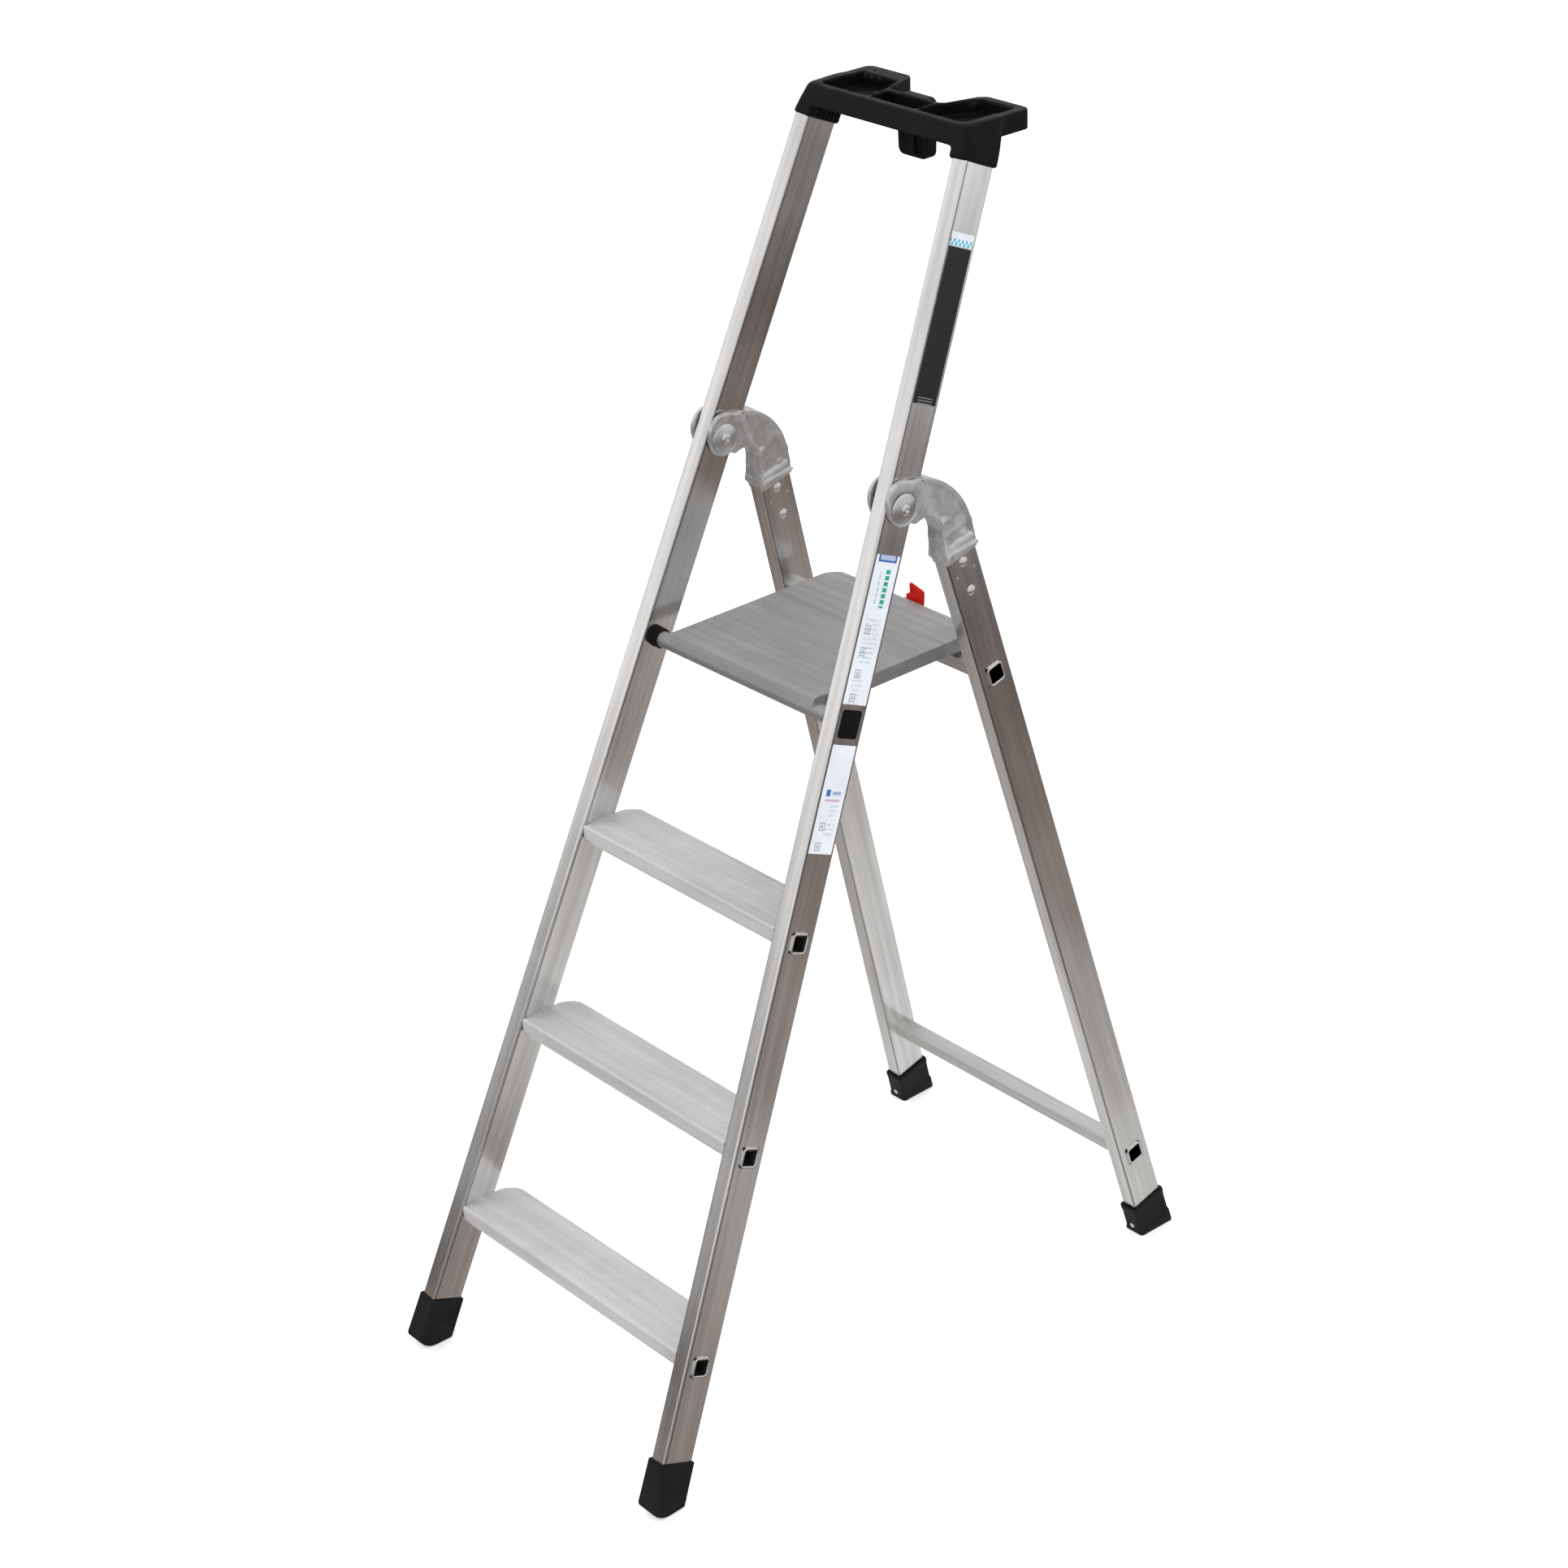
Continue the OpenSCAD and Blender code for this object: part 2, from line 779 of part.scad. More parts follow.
// Angle plates behind the back flange that reach down behind the crossbar.
module platform_hooks() {
    inner = platform_reach - deck_skin - gap;
    color(cast) centred() translate([0, pivot_y, pivot_z]) both_sides() difference() {
        union() {
            x_slab(hook_x, 2.4) rounded(inner - 12, inner, -22, 11, 4);
            translate([hook_x, inner - 2, 0.5]) cube([18, 2, 10.5]);
        }
        hook_rivets(2.4 + running);
    }
}

// Shanks of the two rivets of one hook plate, along Y through the back flange.
module hook_rivets(r) {
    for (x = [7, 13]) translate([hook_x + x, platform_reach - deck_skin - 2.5, 5.5])
        rotate([-90, 0, 0]) cylinder(r = r, h = deck_skin + 2.6);
}

module platform_rivets() {
    color(alu) centred() translate([0, pivot_y, pivot_z]) both_sides() {
        hook_rivets(2.4);
        for (x = [7, 13]) translate([hook_x + x, platform_reach + gap - eps, 5.5])
            rotate([-90, 0, 0]) cylinder(r1 = 2.9, r2 = 1.9, h = 1.4);
    }
}

module catch_bracket() {
    back = pivot_y + platform_reach + gap;
    color(cast) centred() difference() {
        union() {
            translate([catch_x - 28, back, platform_z - 20]) cube([45, 1.8, 16]);
            for (x = [catch_x - 27, catch_x + 16]) {
                x_rod(x, pin_y, pin_z, 5, 2);
                translate([x - 1, back, pin_z - 5]) cube([2, pin_y - back, 10]);
            }
        }
        x_rod(catch_x, pin_y, pin_z, pin_r + running, 80);
    }
}

module catch_pin() {
    color(alu) centred() {
        x_rod(catch_x - 5.5, pin_y, pin_z, pin_r, 49);
        for (x = [catch_x - 29, catch_x + 18]) x_rod(x, pin_y, pin_z, 3.6, 1.6);
    }
}

// Wound spring on the pin beside the lever hub.
module catch_spring() {
    turns = 4;
    color(cast) centred() translate([catch_x + 9.2, pin_y, pin_z]) rotate([0, 90, 0])
        for (i = [0:turns - 1]) translate([0, 0, i * 1.4]) rotate_extrude()
            translate([pin_r + 0.9, 0]) circle(0.8, $fn = 24);
}

// Lever with a hook that reaches under the crossbar and a thumb tab above the platform.
module catch_lever() {
    hook_w = 14;
    hub_r = 4.5;
    color(red) centred() difference() {
        union() {
            x_rod(catch_x - 8.5, pin_y, pin_z, hub_r, 33);
            translate([0, pin_y, pin_z]) rotate([catch_swing, 0, 0])
                x_slab(catch_x - 8, hook_w) union() {
                    box(-3, 4, -38, 0);
                    box(-38, 4, -38, -32.5);
                }
            translate([0, pin_y, pin_z]) x_slab(catch_x - 4.5, 17) box(-2, 4, 0, 20);
            translate([0, pin_y, pin_z]) x_slab(catch_x, catch_w) {
                rounded(-2, 4, 8, 32, 2.5);
            }
            translate([0, pin_y, pin_z]) x_slab(catch_x - 4.5, 17) rounded(-2, 4, 0, 32, 2.5);
        }
        x_rod(catch_x, pin_y, pin_z, pin_r + running, 80);
    }
}

stile_right();
stile_left();
tread_1();
tread_2();
tread_3();
tool_tray();
tray_screws();
front_foot_right();
front_foot_left();
platform_pivot_rod();
pivot_bush_right();
pivot_bush_left();
pivot_cap_right();
pivot_cap_left();
hinge_bolts();
hinge_washers();
hinge_spacers();
strip_label();
strip_band();
info_labels();
knuckle_right();
knuckle_left();
knuckle_rivets();
knuckle_pins();
rear_leg_right();
rear_leg_left();
upper_crossbar();
lower_brace();
rear_foot_right();
rear_foot_left();
foot_pegs();
platform_deck();
platform_hooks();
platform_rivets();
catch_bracket();
catch_pin();
catch_spring();
catch_lever();
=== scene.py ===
import math

import bmesh
import bpy
import numpy as np
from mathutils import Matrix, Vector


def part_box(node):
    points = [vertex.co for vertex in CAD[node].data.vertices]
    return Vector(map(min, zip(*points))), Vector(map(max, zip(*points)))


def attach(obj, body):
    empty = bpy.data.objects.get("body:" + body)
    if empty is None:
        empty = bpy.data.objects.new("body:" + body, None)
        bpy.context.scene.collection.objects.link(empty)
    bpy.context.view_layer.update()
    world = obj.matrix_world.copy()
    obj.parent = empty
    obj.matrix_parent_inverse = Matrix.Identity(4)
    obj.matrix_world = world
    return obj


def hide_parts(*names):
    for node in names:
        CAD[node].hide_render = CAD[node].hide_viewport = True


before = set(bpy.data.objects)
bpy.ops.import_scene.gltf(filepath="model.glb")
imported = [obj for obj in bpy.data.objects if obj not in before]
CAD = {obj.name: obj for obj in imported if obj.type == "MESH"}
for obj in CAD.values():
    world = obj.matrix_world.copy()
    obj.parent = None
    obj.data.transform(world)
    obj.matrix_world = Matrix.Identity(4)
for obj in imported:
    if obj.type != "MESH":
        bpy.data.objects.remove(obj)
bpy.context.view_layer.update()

import openvdb
from mathutils import Matrix, Vector

MM = 0.001
SCENE = bpy.context.scene
X_AXIS, Y_AXIS, Z_AXIS = Vector((1, 0, 0)), Vector((0, 1, 0)), Vector((0, 0, 1))
UPRIGHT = (X_AXIS, Y_AXIS, Z_AXIS)


# ---------------------------------------------------------------- frames of the ladder


def long_axis(node):
    """Unit vector along a straight CAD part, pointing up."""
    verts = [v.co for v in CAD[node].data.vertices]
    low = min(v.z for v in verts)
    high = max(v.z for v in verts)
    band = (high - low) * 0.02
    ends = []
    for level in (low, high):
        near = [v for v in verts if abs(v.z - level) < band]
        ends.append(sum(near, Vector()) / len(near))
    return (ends[1] - ends[0]).normalized()


def side_axes(right, left):
    """Axes of the right-hand side part: x outward, y square to the frame, z up along it."""
    z = long_axis(right)
    y = long_axis(left).cross(z).normalized()
    if y.y < 0:
        y = -y
    x = y.cross(z).normalized()
    return x, y, z


def box_centre(node):
    low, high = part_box(node)
    return (low + high) / 2


def on_line(node, axis, height):
    """Point of a straight part's centreline at a height."""
    middle = box_centre(node)
    return middle + axis * ((height - middle.z) / axis.z)


def mirrored_axes(axes):
    return tuple(Vector((-axis.x, axis.y, axis.z)) for axis in axes)


STILE = side_axes("stile_right", "stile_left")
LEG = side_axes("rear_leg_right", "rear_leg_left")
STILES = ((STILE, "stile_right"), (mirrored_axes(STILE), "stile_left"))
LEGS = ((LEG, "rear_leg_right"), (mirrored_axes(LEG), "rear_leg_left"))

# Half width and half depth of the stile's and the leg's section, in millimetres.
STILE_HALF = (11.0, 23.5)
LEG_HALF = (11.0, 24.3)


# ---------------------------------------------------------------- material helpers


class Graph:
    """A node material with a Principled surface."""

    def __init__(self, name):
        self.mat = bpy.data.materials.new(name)
        self.mat.use_nodes = True
        self.tree = self.mat.node_tree
        self.surface = self.tree.nodes["Principled BSDF"]

    def node(self, kind, inputs=None, **settings):
        made = self.tree.nodes.new(kind)
        for key, value in settings.items():
            setattr(made, key, value)
        for key, value in (inputs or {}).items():
            self.feed(made.inputs[key], value)
        return made

    def feed(self, socket, value):
        if isinstance(value, bpy.types.NodeSocket):
            self.tree.links.new(value, socket)
        else:
            socket.default_value = value

    def math(self, operation, a, b=0.0):
        return self.node("ShaderNodeMath", {0: a, 1: b}, operation=operation).outputs[0]

    def total(self, first, *others):
        for other in others:
            first = self.math("ADD", first, other)
        return first

    def span(self, value, low, high, to_low=0.0, to_high=1.0):
        """Maps low..high to to_low..to_high, held at the ends."""
        names = ("Value", "From Min", "From Max", "To Min", "To Max")
        values = (value, low, high, to_low, to_high)
        return self.node("ShaderNodeMapRange", dict(zip(names, values))).outputs["Result"]

    def mix(self, share, a, b, blend="MIX"):
        made = self.node("ShaderNodeMix", data_type="RGBA", blend_type=blend)
        self.feed(made.inputs["Factor"], share)
        self.feed(made.inputs["A"], a)
        self.feed(made.inputs["B"], b)
        return made.outputs["Result"]

    def object_coordinates(self):
        return self.node("ShaderNodeTexCoord").outputs["Object"]

    def along(self, axis, squeeze):
        """Object coordinates with the given axis turned to Z and shortened by squeeze."""
        turn = Vector(axis).rotation_difference(Vector((0, 0, 1))).to_euler()
        turned = self.node(
            "ShaderNodeMapping", {"Vector": self.object_coordinates(), "Rotation": turn}
        )
        return self.node(
            "ShaderNodeMapping",
            {"Vector": turned.outputs[0], "Scale": (1, 1, squeeze)},
        ).outputs[0]

    def noise(self, vector, scale, detail=3.0, rough=0.5, distortion=0.0):
        return self.node(
            "ShaderNodeTexNoise",
            {
                "Vector": vector,
                "Scale": scale,
                "Detail": detail,
                "Roughness": rough,
                "Distortion": distortion,
            },
        ).outputs["Fac"]

    def bump(self, height, strength, distance, under=None):
        inputs = {"Height": height, "Strength": strength, "Distance": distance}
        if under is not None:
            inputs["Normal"] = under
        return self.node("ShaderNodeBump", inputs).outputs[0]

    def edge(self, radius):
        """1 near sharp edges and 0 on flat faces."""
        soft = self.node("ShaderNodeBevel", {"Radius": radius}, samples=4).outputs[0]
        flat = self.node("ShaderNodeNewGeometry").outputs["Normal"]
        facing = self.node(
            "ShaderNodeVectorMath", {0: soft, 1: flat}, operation="DOT_PRODUCT"
        ).outputs["Value"]
        return self.span(facing, 0.97, 0.75)

    def place_in(self, axes, origin):
        """Coordinates in millimetres in a frame with the given axes and origin."""
        steps = self.node(
            "ShaderNodeVectorMath",
            {0: self.object_coordinates(), 1: tuple(origin)},
            operation="SUBTRACT",
        ).outputs[0]
        found = []
        for axis in axes:
            inputs = {0: steps, 1: tuple(Vector(axis) / MM)}
            made = self.node("ShaderNodeVectorMath", inputs, operation="DOT_PRODUCT")
            found.append(made.outputs["Value"])
        return found

    def window(self, value, low, high, soft=0.0):
        """1 between low and high, 0 outside."""
        off = self.math("ABSOLUTE", self.math("SUBTRACT", value, (low + high) / 2))
        half = (high - low) / 2
        if soft:
            return self.span(off, half, half + soft, 1.0, 0.0)
        return self.math("LESS_THAN", off, half)

    def rectangle(self, u, v, low_u, high_u, low_v, high_v):
        across = self.window(u, low_u, high_u)
        return self.math("MULTIPLY", across, self.window(v, low_v, high_v))

    def repeat(self, value, pitch, share):
        """1 over the first share of every pitch."""
        turn = self.math("FRACT", self.math("DIVIDE", value, pitch))
        return self.math("LESS_THAN", turn, share)

    def set(self, **inputs):
        for name, value in inputs.items():
            self.feed(self.surface.inputs[name.replace("_", " ")], value)


def grey(value, warm=0.0):
    return (value * (1 + warm), value, value * (1 - warm), 1)


def drawn_metal(
    name, axis, tone, rough, streak, blotch, warm=0.0, aniso=0.3, metal=1.0, shade_line=None, rails=()
):
    """Extruded aluminium: soft bands and fine die lines along its axis, cloudy in places.

    Its painted shade line is given as (axes, origin, depth): a dark line painted along the part's
    sides at that depth, for the shading near the front corner.
    A cross tube's hollow ends get painted shade, nearly black, where it passes through its rails.
    """
    g = Graph(name)
    lines = g.noise(g.along(axis, 0.012), 620, 4, 0.65)
    bands = g.noise(g.along(axis, 0.03), 110, 2, 0.45)
    cloud = g.noise(g.along(axis, 0.3), 22, 4, 0.6, 0.4)
    smear = g.noise(g.object_coordinates(), 6, 3, 0.55)
    value = g.total(
        g.span(lines, 0.3, 0.7, -streak * 0.45, streak * 0.45),
        1.0,
        g.span(bands, 0.32, 0.68, -streak * 2.2, streak * 2.2),
        g.span(cloud, 0.3, 0.7, -blotch, blotch),
        g.span(smear, 0.3, 0.7, -blotch, blotch),
        # Painted highlight: edges made paler, standing in for light caught on the rounded corners.
        g.math("MULTIPLY", g.edge(1.4 * MM), 0.3),
    )
    # Painted shade: a dark line along the sides near the front corner.
    if shade_line:
        axes, origin, depth = shade_line
        deep = g.place_in(axes, origin)[1]
        line = g.window(deep, depth - 0.5, depth + 0.5, 0.8)
        value = g.math("MULTIPLY", value, g.span(line, 0, 1, 1, 0.4))
    # Painted shade: the tube's hollow ends inside the rails made nearly black.
    for axes, node in rails:
        side = g.place_in(axes, box_centre(node))[0]
        inner_face = 1 - STILE_HALF[0]
        hollow_shade = g.span(side, inner_face - 0.2, inner_face + 0.2, 1, 0.05)
        value = g.math("MULTIPLY", value, hollow_shade)
    colour = g.mix(1.0, grey(tone, warm), value, "MULTIPLY")
    roughness = g.span(lines, 0.25, 0.75, rough - 0.05, rough + 0.06)
    roughness = g.math("ADD", roughness, g.span(smear, 0.35, 0.65, -0.05, 0.05))
    tangent = g.node(
        "ShaderNodeVectorTransform",
        {"Vector": tuple(axis)},
        vector_type="VECTOR",
        convert_from="OBJECT",
        convert_to="WORLD",
    ).outputs[0]
    g.set(Base_Color=colour, Metallic=metal, Roughness=roughness, Anisotropic=aniso)
    g.set(Anisotropic_Rotation=0.25, Tangent=tangent)
    waves = g.bump(bands, 0.5, 0.25 * MM)
    g.set(Normal=g.bump(lines, 0.08, 0.03 * MM, waves))
    return g.mat


def cast_metal(name, tone, rough):
    """Die-cast aluminium: fine grain, soft clouds and a painted highlight along the edges."""
    g = Graph(name)
    place = g.object_coordinates()
    grain = g.noise(place, 1400, 3, 0.6)
    cloud = g.noise(place, 60, 4, 0.6, 0.5)
    pits = g.noise(place, 420, 2, 0.5)
    value = g.total(
        g.span(cloud, 0.3, 0.7, 0.7, 1.1),
        g.span(grain, 0, 1, -0.08, 0.08),
        # Painted highlight: edges made much paler, for light caught on the knuckle's rims.
        g.math("MULTIPLY", g.edge(1.6 * MM), 0.9),
    )
    g.set(Base_Color=g.mix(1.0, grey(tone, 0.003), value, "MULTIPLY"), Metallic=0.78)
    g.set(Roughness=g.span(cloud, 0.3, 0.7, rough - 0.06, rough + 0.08))
    fine = g.bump(grain, 0.25, 0.05 * MM)
    g.set(Normal=g.bump(pits, 0.25, 0.12 * MM, fine))
    return g.mat


def plated(name, tone, rough, warm=0.0):
    """Bright plated steel, lightly scratched."""
    g = Graph(name)
    place = g.object_coordinates()
    cloud = g.noise(place, 160, 3, 0.6)
    scratch = g.noise(place, 900, 4, 0.7)
    # Edges a little paler.
    edge_paling = g.math("MULTIPLY", g.edge(0.6 * MM), 0.1)
    value = g.total(g.span(cloud, 0.3, 0.7, 0.9, 1.06), edge_paling)
    g.set(Base_Color=g.mix(1.0, grey(tone, warm), value, "MULTIPLY"), Metallic=1.0)
    g.set(Roughness=g.span(scratch, 0.3, 0.7, rough - 0.05, rough + 0.08))
    g.set(Normal=g.bump(scratch, 0.08, 0.03 * MM))
    return g.mat


def moulded(name, colour, rough, grain_depth, edge_paling):
    """Moulded plastic or rubber with a fine grain, paler edges and a little dust."""
    g = Graph(name)
    place = g.object_coordinates()
    grain = g.node(
        "ShaderNodeTexVoronoi", {"Vector": place, "Scale": 1500.0, "Randomness": 1.0}
    ).outputs["Distance"]
    cloud = g.noise(place, 45, 4, 0.6, 0.3)
    dust = g.noise(place, 14, 5, 0.7)
    scuff = g.noise(g.along((0.6, 0.5, 0.62), 0.08), 260, 3, 0.7)
    value = g.total(
        g.span(cloud, 0.3, 0.7, 0.8, 1.2),
        # Edges made paler by the given amount.
        g.math("MULTIPLY", g.edge(1.5 * MM), edge_paling),
        g.span(dust, 0.52, 0.75, 0, 0.35),
        g.span(scuff, 0.66, 0.8, 0, 0.5),
    )
    g.set(Base_Color=g.mix(1.0, colour, value, "MULTIPLY"))
    g.set(Roughness=g.span(cloud, 0.3, 0.7, rough - 0.05, rough + 0.08))
    g.set(Specular_IOR_Level=0.11, Normal=g.bump(grain, 0.35, grain_depth))
    return g.mat


WHITE_FILM = (0.74, 0.78, 0.84, 1)
INK_BLUE = (0.05, 0.14, 0.42, 1)
INK_CYAN = (0.05, 0.42, 0.6, 1)
INK_GREEN = (0.03, 0.36, 0.2, 1)
INK_GREY = (0.2, 0.21, 0.27, 1)
INK_PINK = (0.5, 0.16, 0.24, 1)


def printed_film(name, base, node, prints):
    """Glossy film on the right stile; prints(g, across, up, film, reach) adds the inks.

    Across and up are millimetres from the middle of the film, and reach is half its length.
    """
    g = Graph(name)
    low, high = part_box(node)
    axis = STILE[2]
    origin = on_line("stile_right", axis, (low.z + high.z) / 2)
    across, up = g.place_in(STILE, origin)[1:]
    cloud = g.noise(g.object_coordinates(), 18, 4, 0.6)
    film = g.mix(1.0, base, g.span(cloud, 0.3, 0.7, 0.9, 1.06), "MULTIPLY")
    reach = (high.z - low.z) / 2 / axis.z / MM
    g.set(Base_Color=prints(g, across, up, film, reach), Roughness=0.3)
    wrinkle = g.noise(g.object_coordinates(), 90, 2, 0.5)
    g.set(Specular_IOR_Level=0.35, Normal=g.bump(wrinkle, 0.1, 0.1 * MM))
    return g.mat


def info_print(g, across, up, film, top):
    """Header block, two slim bars, rows of small marks and empty pictogram frames."""

    def stamp(ink, mask, under, share=1.0):
        return g.mix(g.math("MULTIPLY", mask, share), under, ink)

    def box(low, high, low_up, high_up):
        return g.rectangle(across, up, low, high, low_up, high_up)

    film = stamp(INK_BLUE, box(-15, 15, top - 17, top - 6), film)
    film = stamp(WHITE_FILM, box(-12, 12, top - 14.5, top - 8.5), film, 0.5)
    breaks = g.repeat(up, 7.0, 0.72)
    film = stamp(INK_GREEN, g.math("MULTIPLY", box(2, 9, top - 70, top - 24), breaks), film)
    film = stamp(INK_GREY, g.math("MULTIPLY", box(-7, -5.4, top - 66, top - 28), breaks), film, 0.7)
    marks = g.node(
        "ShaderNodeTexVoronoi", {"Vector": g.object_coordinates(), "Scale": 620.0}
    ).outputs["Distance"]
    specks = g.math("LESS_THAN", marks, 0.42)
    rows = g.math("MULTIPLY", g.repeat(up, 5.5, 0.4), specks)
    for low, high, low_up, high_up in (
        (-12, 12, top - 135, top - 80),
        (-12, 4, top - 190, top - 150),
        (-2, 13, -top + 30, -top + 66),
    ):
        block_of_rows = g.math("MULTIPLY", box(low, high, low_up, high_up), rows)
        film = stamp(INK_GREY, block_of_rows, film, 0.75)
    for at in (top - 96, top - 122, top - 148, top - 176, -top + 16, -top + 40):
        frame_out = box(-11, -2, at - 5, at + 5)
        frame_in = box(-9.8, -3.2, at - 3.8, at + 3.8)
        edge = g.math("SUBTRACT", frame_out, frame_in)
        film = stamp(INK_GREY, edge, film, 0.8)
        film = stamp(INK_GREY, box(-8, -5, at - 2.4, at + 2.2), film, 0.7)
    film = stamp(INK_BLUE, box(-12, -5, -top + 76, -top + 84), film)
    film = stamp(INK_BLUE, box(-2, 12, -top + 78, -top + 82), film, 0.6)
    film = stamp(INK_PINK, box(-12, 12, -top + 70, -top + 72.5), film, 0.6)
    return film


def band_print(g, across, up, film, reach):
    """Two rows of cyan checks."""
    shifted = g.total(across, g.math("MULTIPLY", g.repeat(up, 8.0, 0.5), 3.4))
    checks = g.repeat(shifted, 6.8, 0.5)
    rows = g.window(up, -reach + 1, -reach + 15)
    return g.mix(g.math("MULTIPLY", checks, rows), film, INK_CYAN)


def strip_print(g, across, up, film, reach):
    """Thin grey lines across the lower end."""
    rows = g.math("MULTIPLY", g.repeat(up, 3.2, 0.3), g.window(up, -reach + 5, -reach + 16))
    rows = g.math("MULTIPLY", rows, g.window(across, -12, 12))
    return g.mix(g.math("MULTIPLY", rows, 0.5), film, (0.4, 0.4, 0.4, 1))


def rail(name, axes, node, shade_line_depth):
    """Drawn metal of a stile or leg, with a painted shade line near its front edge."""
    shade_line = (axes, box_centre(node), shade_line_depth)
    return drawn_metal(name, axes[2], 0.86, 0.2, 0.05, 0.06, warm=0.01, aniso=0.35, shade_line=shade_line)


# Where the painted shade line runs: 3.6 mm behind the stile's front face and 1.4 mm behind the leg's.
STILE_SHADE_LINE = 3.6 - STILE_HALF[1]
LEG_SHADE_LINE = 1.4 - LEG_HALF[1]
MATERIALS = {
    "stile_right": rail("alu_stile_right", *STILES[0], STILE_SHADE_LINE),
    "stile_left": rail("alu_stile_left", *STILES[1], STILE_SHADE_LINE),
    "leg_right": rail("alu_leg_right", *LEGS[0], LEG_SHADE_LINE),
    "leg_left": rail("alu_leg_left", *LEGS[1], LEG_SHADE_LINE),
    "bar": drawn_metal("alu_bar", X_AXIS, 0.64, 0.3, 0.05, 0.08, 0.01, 0.5, rails=LEGS),
    "tread": drawn_metal("alu_tread", X_AXIS, 0.68, 0.5, 0.03, 0.06, metal=0.55, rails=STILES),
    "deck": drawn_metal("alu_deck", X_AXIS, 0.5, 0.55, 0.03, 0.09, aniso=0.2, metal=0.95),
    "cast": cast_metal("cast_grey", 0.69, 0.34),
    "lip": plated("swaged_alu", 0.85, 0.34),
    "plated": plated("plated_steel", 0.8, 0.3),
    "washer": plated("zinc_washer", 0.82, 0.3, -0.03),
    "black": moulded("black_plastic", (0.005, 0.005, 0.0053, 1), 0.42, 0.05 * MM, 1.4),
    "rubber": moulded("foot_rubber", (0.011, 0.011, 0.012, 1), 0.5, 0.07 * MM, 1.0),
    "red": moulded("red_plastic", (0.62, 0.02, 0.012, 1), 0.35, 0.03 * MM, 0.3),
    "strip_label": printed_film("film_black", (0.012, 0.012, 0.014, 1), "strip_label", strip_print),
    "strip_band": printed_film("film_checks", WHITE_FILM, "strip_band", band_print),
    "info_labels": printed_film("film_info", WHITE_FILM, "info_labels", info_print),
}

FINISHED_NODES = {
    "stile_right": ("stile_right",),
    "stile_left": ("stile_left",),
    "leg_right": ("rear_leg_right",),
    "leg_left": ("rear_leg_left",),
    "tread": ("tread_1", "tread_2", "tread_3"),
    "deck": ("platform_deck",),
    "bar": ("upper_crossbar", "lower_brace", "platform_pivot_rod"),
    "cast": ("knuckle_right", "knuckle_left", "platform_hooks", "catch_bracket"),
    "plated": (
        "knuckle_rivets",
        "knuckle_pins",
        "platform_rivets",
        "foot_pegs",
        "hinge_bolts",
        "hinge_washers",
        "tray_screws",
        "catch_pin",
        "catch_spring",
    ),
    "black": (
        "tool_tray",
        "hinge_spacers",
        "pivot_bush_right",
        "pivot_bush_left",
        "pivot_cap_right",
        "pivot_cap_left",
    ),
    "rubber": ("front_foot_right", "front_foot_left", "rear_foot_right", "rear_foot_left"),
    "red": ("catch_lever",),
    "strip_label": ("strip_label",),
    "strip_band": ("strip_band",),
    "info_labels": ("info_labels",),
}

EDGE_WIDTH = 0.35 * MM
EDGE_ANGLE = math.radians(32)
FLAT_ANGLE = math.radians(0.4)
WELD_GAP = 0.004 * MM


def refine(node):
    """Welds the tessellated part, merges its flat faces and rounds its edges."""
    obj = CAD[node]
    for name in ("custom_normal", "sharp_edge", "sharp_face"):
        if name in obj.data.attributes:
            obj.data.attributes.remove(obj.data.attributes[name])
    obj.data.shade_smooth()
    weld = obj.modifiers.new("weld", "WELD")
    weld.merge_threshold = WELD_GAP
    flat = obj.modifiers.new("flat", "DECIMATE")
    flat.decimate_type = "DISSOLVE"
    flat.angle_limit = FLAT_ANGLE
    bevel = obj.modifiers.new("bevel", "BEVEL")
    bevel.width = EDGE_WIDTH
    bevel.segments = 2
    bevel.limit_method = "ANGLE"
    bevel.angle_limit = EDGE_ANGLE
    bevel.use_clamp_overlap = True
    bevel.harden_normals = True
    normals = obj.modifiers.new("normals", "WEIGHTED_NORMAL")
    normals.keep_sharp = False
    normals.weight = 60


def paint(obj, material):
    obj.data.materials.clear()
    obj.data.materials.append(MATERIALS[material])


def new_piece(name, mesh, body, material):
    """Puts a finished mesh in the scene as a piece that moves with its body."""
    mesh.shade_smooth()
    obj = bpy.data.objects.new(name, mesh)
    SCENE.collection.objects.link(obj)
    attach(obj, body)
    paint(obj, material)
    return obj


# ---------------------------------------------------------------- moulded and cast shapes


class Field:
    """Signed distances on a grid in a local frame, in millimetres. Negative is inside."""

    def __init__(self, matrix, low, high, cell):
        self.matrix, self.cell = matrix, cell
        self.low = np.array(low, np.float32)
        count = np.ceil((np.array(high) - self.low) / cell).astype(int) + 1
        steps = [self.low[i] + cell * np.arange(count[i], dtype=np.float32) for i in range(3)]
        self.here = tuple(np.meshgrid(*steps, indexing="ij", sparse=True))


def seen_in(points, source, target=Matrix.Identity(4)):
    """Points of one frame as coordinates in another, both frames in millimetres."""
    turn = np.array(target.inverted() @ source, np.float32)
    x, y, z = points
    rows = (turn[i, 0] * x + turn[i, 1] * y + turn[i, 2] * z for i in range(3))
    return [row + turn[i, 3] for i, row in enumerate(rows)]


def smooth_min(a, b, k):
    h = np.maximum(k - np.abs(a - b), 0) / k
    return np.minimum(a, b) - h * h * k / 4


def join(k, *shapes):
    whole = shapes[0]
    for shape in shapes[1:]:
        whole = smooth_min(whole, shape, k)
    return whole


def common(k, *shapes):
    return -join(k, *[-shape for shape in shapes])


def carve(shape, tool, k):
    return -smooth_min(-shape, tool, k)


